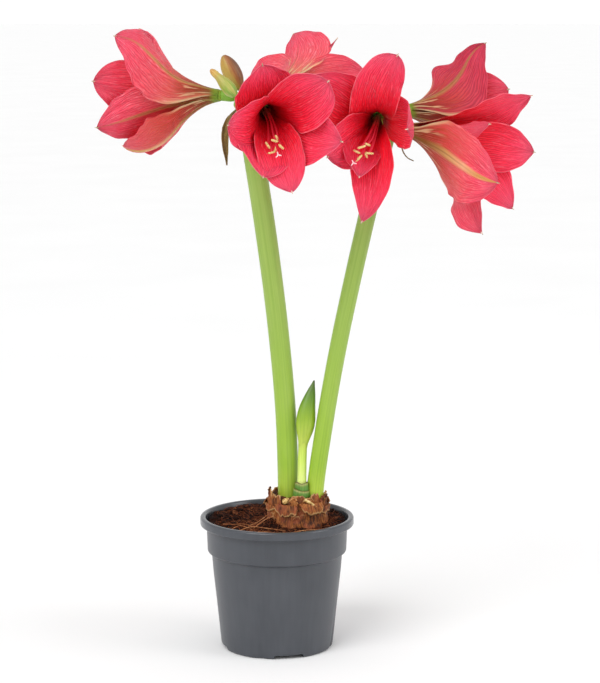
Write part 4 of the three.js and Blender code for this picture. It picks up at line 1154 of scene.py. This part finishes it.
def petal_inside():
    """Inside of the bloom: green star, dark throat, pure red, then coral pink with pale veins.
    The throat's dark red is partly its own colour and partly painted shade of the deep tube.
    """
    finish = TepalFinish("petal_inside", 0.5)
    along = finish.along
    reach = finish.times_add(finish.clouds, 0.16, finish.maths("SUBTRACT", along, 0.08))
    # The dark red stops near the throat are partly the throat's own colour, partly painted shade of the
    # tube.
    colour = finish.ramp(reach, (0.0, 250, 240, 150), (0.06, 210, 150, 70), (0.12, 150, 8, 14),
                         (0.25, 190, 0, 14), (0.4, 244, 10, 36), (0.6, 255, 36, 64),
                         (0.84, 255, 64, 98), (1.0, 255, 92, 124))
    outwards = finish.fade(along, 0.2, 0.62)
    colour = finish.over(colour, finish.flecks, finish.times(outwards, 0.36), 255, 140, 156)
    colour = finish.over(colour, finish.veins, finish.times_add(outwards, 0.25, 0.15), 176, 0, 24)
    rim = finish.times(finish.fade(finish.side, 0.95, 1.0), 0.4)
    colour = finish.over(colour, rim, finish.fade(along, 0.3, 0.6), 252, 150, 164)
    return finish.velvet(colour)


def petal_outside():
    """Outside: pink over fine red veins, brick-red flames and a cream and olive rib from the tube."""
    finish = TepalFinish("petal_outside", 0.52)
    along, side, veins, folds = finish.along, finish.side, finish.veins, finish.folds
    colour = finish.ramp(along, (0.0, 206, 140, 84), (0.14, 230, 130, 96), (0.3, 240, 116, 102),
                         (0.5, 244, 94, 104), (0.8, 244, 82, 106), (1.0, 244, 90, 116))
    outwards = finish.times(finish.fade(along, 0.1, 0.4), 0.5)
    colour = finish.over(colour, finish.flecks, outwards, 255, 164, 174)
    colour = finish.over(colour, veins, outwards, 206, 30, 60)
    # Painted shade: a darker purple red with darker veins, mixed in by the blade's share of shade.
    shadow = finish.over(srgb(204, 58, 84), veins, 0.6, 146, 26, 58)
    colour = finish.blend(finish.dull, colour, shadow)

    # Brick-red flames that run up from the tube, and cream lines and margins beside them.
    broad = finish.fade(finish.maths("DIVIDE", side, finish.brick), 1.6, 0.7)
    uneven = finish.times(finish.maths("SUBTRACT", folds, 0.5), 0.5)
    reach = finish.maths("DIVIDE", finish.maths("SUBTRACT", along, uneven), finish.brick)
    burn = finish.times(broad, finish.fade(reach, 1.1, 0.3))
    burn = finish.times(burn, finish.times_add(veins, -0.42, 0.96))
    flame = finish.ramp(along, (0.04, 104, 84, 24), (0.12, 124, 60, 18), (0.24, 152, 50, 22),
                        (0.42, 188, 60, 42), (0.8, 210, 92, 78))
    colour = finish.blend(burn, colour, flame)
    pale_lines = finish.times(finish.fade(folds, 0.55, 0.62), finish.fade(along, 0.46, 0.2))
    margin = finish.times(finish.fade(side, 0.82, 0.95), finish.fade(along, 0.5, 0.26))
    cream = finish.maths("MAXIMUM", finish.times(pale_lines, 0.75), margin)
    colour = finish.over(colour, cream, 0.85, 244, 206, 158)

    # The rib, broader and paler on the upper blooms, with a dark groove down its middle.
    width = finish.times(finish.rib, finish.times_add(along, -0.05, 0.11))
    stripe = finish.fade(finish.maths("DIVIDE", side, width), 1.15, 0.35)
    stripe = finish.times(stripe, finish.fade(finish.maths("DIVIDE", along, finish.rib), 1.0, 0.5))
    narrow = finish.ramp(along, (0.0, 150, 162, 62), (0.16, 186, 150, 84), (0.45, 200, 144, 92),
                         (0.75, 206, 152, 98), (1.0, 166, 148, 80))
    wide = finish.ramp(along, (0.0, 122, 112, 40), (0.24, 146, 98, 40), (0.46, 210, 168, 98),
                       (0.66, 238, 188, 140), (0.84, 204, 166, 84))
    rib_colour = finish.blend(finish.fade(finish.rib, 1.5, 1.8), narrow, wide)
    # Painted shade also darkens the rib to brown, by the same share.
    rib_colour = finish.over(rib_colour, finish.dull, 0.7, 160, 104, 62)
    colour = finish.blend(finish.times(stripe, 0.8), colour, rib_colour)
    groove = finish.times(finish.fade(side, 0.034, 0.01), finish.fade(along, 0.95, 0.3))
    colour = finish.over(colour, groove, 0.55, 140, 84, 36)
    colour = finish.blend(finish.fade(along, 0.085, 0.03), colour, srgb(140, 164, 54))
    return finish.velvet(colour)


def bloom_mesh(name):
    """Six tepals and the floor of the tube that they are joined in."""
    bm = new_mesh()
    for layer in ("tint", *LOOKS):
        bm.verts.layers.float.new(layer)
    axes = bloom_axes(name)
    for tepal in BLOOMS[name]:
        add_tepal(bm, axes, tepal)
    base, forward = axes[:2]
    floor = grow_stalk(bm, [base - forward * CUP_DEPTH, base, base + forward * 2.5],
                       lambda s: 4.3 + 1.1 * s, 36, 8)
    uv = bm.loops.layers.uv["UVMap"]
    for face in floor:
        for loop in face.loops:
            loop[uv].uv = (0.5, 0.01)
    deform = bm.verts.layers.deform.verify()
    for vert in bm.verts:
        if 0 not in vert[deform]:
            vert[deform][0] = 0.3
    return bm


horn_material = speckled("tepal_tip_horn", 0.4, (900, 2), 0, (0.4, 150, 138, 92), (0.6, 246, 214, 196))
petal_materials = (petal_outside(), petal_inside(), horn_material)
for name in BLOOMS:
    bloom = new_piece("bloom_of_six_tepals_" + name, bloom_mesh(name), *petal_materials)
    bloom.vertex_groups.new(name="thin edges")
    blade = thicken(bloom, TEPAL_THICKNESS)
    blade.vertex_group = "thin edges"
    blade.material_offset = 1
    blade.material_offset_rim = 1
    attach(bloom, "root")
    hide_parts("bloom_" + name)

# ---- Stamens -------------------------------------------------------------------------------
# Six red filaments and a longer style rise from the floor of each tube and lean on the lowest
# tepal.  The filaments carry cream-yellow anthers, and the style ends in a pale three-lobed stigma.
FILAMENT_RADIUS = 0.65
ANTHER_RADIUS = 0.85

# How far the anthers and the stigma lean towards the side that a viewer sees on the left, and how
# far the stigma sinks.
STAMEN_LEAN = {"front_left": (5, 5, 0), "front_right": (8, 15, 2), "lower_right": (0, 0, 8)}

# Each filament's turn round the bundle, its reach, how far its anther has swung over, and its size.
FILAMENTS = [
    (12, 73, 0.2, 1.0), (95, 68, -0.4, 0.9), (140, 75, 0.7, 1.05), (205, 64, 1.9, 0.7),
    (262, 71, -0.2, 1.0), (322, 62, 2.6, 0.75),
]


def stamen_red():
    """Red filament, greenish in the throat."""
    finish = Finish("red_filament", 0.4)
    colour = finish.ramp(finish.axes(finish.uv())[1], (0.0, 196, 190, 110), (0.16, 206, 90, 70),
                         (0.4, 206, 24, 46), (1.0, 222, 60, 84))
    return finish.done(colour, finish.grain(900, 2), 0.05)


def stamens_mesh(name):
    """Filaments with their anthers, and the style with the three lobes of its stigma."""
    bm = new_mesh()
    base, forward, up, side = bloom_axes(name)
    anther_lean, stigma_lean, stigma_sink = STAMEN_LEAN.get(name, (0, 0, 0))

    def place(ahead, drop, turn, radius, aside=0):
        return (base + forward * ahead + up * (radius * math.cos(turn) - drop)
                + side * (radius * math.sin(turn) + aside))

    for i, (degrees, reach, lean, size) in enumerate(FILAMENTS):
        turn = math.radians(degrees)
        tip = place(reach, 11.5, turn, 5, anther_lean)
        path = [place(2, 0, turn, 1.8), place(34, 3, turn, 2.4, 0.15 * anther_lean),
                place(56, 9, turn, 4.2, 0.6 * anther_lean), tip]
        grow_stalk(bm, path, lambda s: FILAMENT_RADIUS * (1.25 - 0.55 * s), 10, 36)
        lean += 0.2 * anther_lean
        axis = forward * 0.35 * math.cos(3 * i) + side * math.sin(lean) + up * math.cos(lean)
        axis.normalize()
        arch = forward * 0.9
        anther = [tip + axis * (size * end) + arch * bow
                  for end, bow in ((-3.6, -0.6), (-1.5, 0.4), (1.5, 0.4), (3.6, -0.6))]
        grow_stalk(bm, anther, lambda s: ANTHER_RADIUS * max(1 - (2 * s - 1) ** 4, 0.05) ** 0.5, 14, 16,
                   lambda angle, s: 1 + 0.22 * math.cos(2 * angle), slot=1)
    end = place(82, 15 + stigma_sink, 0, 0, stigma_lean)
    path = [place(2, 0, 0, 0), place(34, 3, 0, 0, 0.12 * stigma_lean),
            place(62, 11.5 + 0.5 * stigma_sink, 0, 0, 0.5 * stigma_lean), end]
    grow_stalk(bm, path, lambda s: FILAMENT_RADIUS * (1.3 - 0.5 * s), 10, 40)
    for i in range(3):
        turn = math.radians(120 * i + 20)
        lobe = up * math.cos(turn) + side * math.sin(turn)
        path = [end - forward * 0.5, end + forward * 0.8 + lobe * 1.2, end + forward * 0.6 + lobe * 2.8]
        grow_stalk(bm, path, lambda s: 0.62 - 0.25 * s, 10, 12, slot=2)
    return bm


pollen_cream = speckled("pollen_cream", 0.8, (1800, 3, 0.7), 0.2, (0.35, 150, 120, 60),
                        (0.5, 228, 196, 124), (0.65, 244, 226, 168))
stigma_pink = speckled("stigma_pink_white", 0.5, (1200, 3), 0.1, (0.35, 240, 176, 186),
                       (0.6, 250, 228, 226))
stamen_materials = (stamen_red(), pollen_cream, stigma_pink)
for name in BLOOMS:
    stamens = new_piece("stamens_and_style_" + name, stamens_mesh(name), *stamen_materials)
    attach(stamens, "root")
    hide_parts("stamens_" + name)

# ---- Floor and light -----------------------------------------------------------------------
# A plain pale floor that runs out to a white surround.  The surround is brightest at the level of
# the eye, a very soft key light falls from the front left, and a weak lamp fills from the right.
FLOOR_HALF = 60
FLOOR_PALE = (248.15, 248.15, 248.15)
FLOOR_PALER = (250.46, 250.46, 250.46)
LAMPS_AIM = Vector((0.02, 0, 0.3))

floor_material = speckled("pale_floor", 0.9, (3, 2), 0, (0.3, *FLOOR_PALE), (0.7, *FLOOR_PALER),
                          inputs={"Specular IOR Level": 0.0})
floor_bm = bmesh.new()
bmesh.ops.create_grid(floor_bm, x_segments=4, y_segments=4, size=FLOOR_HALF / MM)
floor = new_piece("floor", floor_bm, floor_material)

world = bpy.data.worlds.new("white surround")
sky = Look(world)
height = sky.axes(sky.node("TexCoord").outputs["Generated"])[2]
glow = sky.blend(sky.fade(height, 0.1, 0.5), (1.02, 1.02, 1.02, 1), (0.69, 0.69, 0.69, 1))
sky.feed(sky.tree.nodes["Background"], {"Color": glow})
bpy.context.scene.world = world


def soft_lamp(name, kind, place, power):
    data = bpy.data.lights.new(name, kind)
    data.energy = power
    lamp = bpy.data.objects.new(name, data)
    lamp.location = place
    lamp.rotation_euler = (LAMPS_AIM - lamp.location).to_track_quat("-Z", "Y").to_euler()
    bpy.context.scene.collection.objects.link(lamp)
    return data


soft_lamp("key light", "SUN", (-1.3, -1.9, 2.3), 1.5).angle = math.radians(40)
soft_lamp("fill lamp", "AREA", (1.7, -0.6, 1.1), 9).size = 0.9
bpy.context.scene.view_settings.view_transform = "Standard"
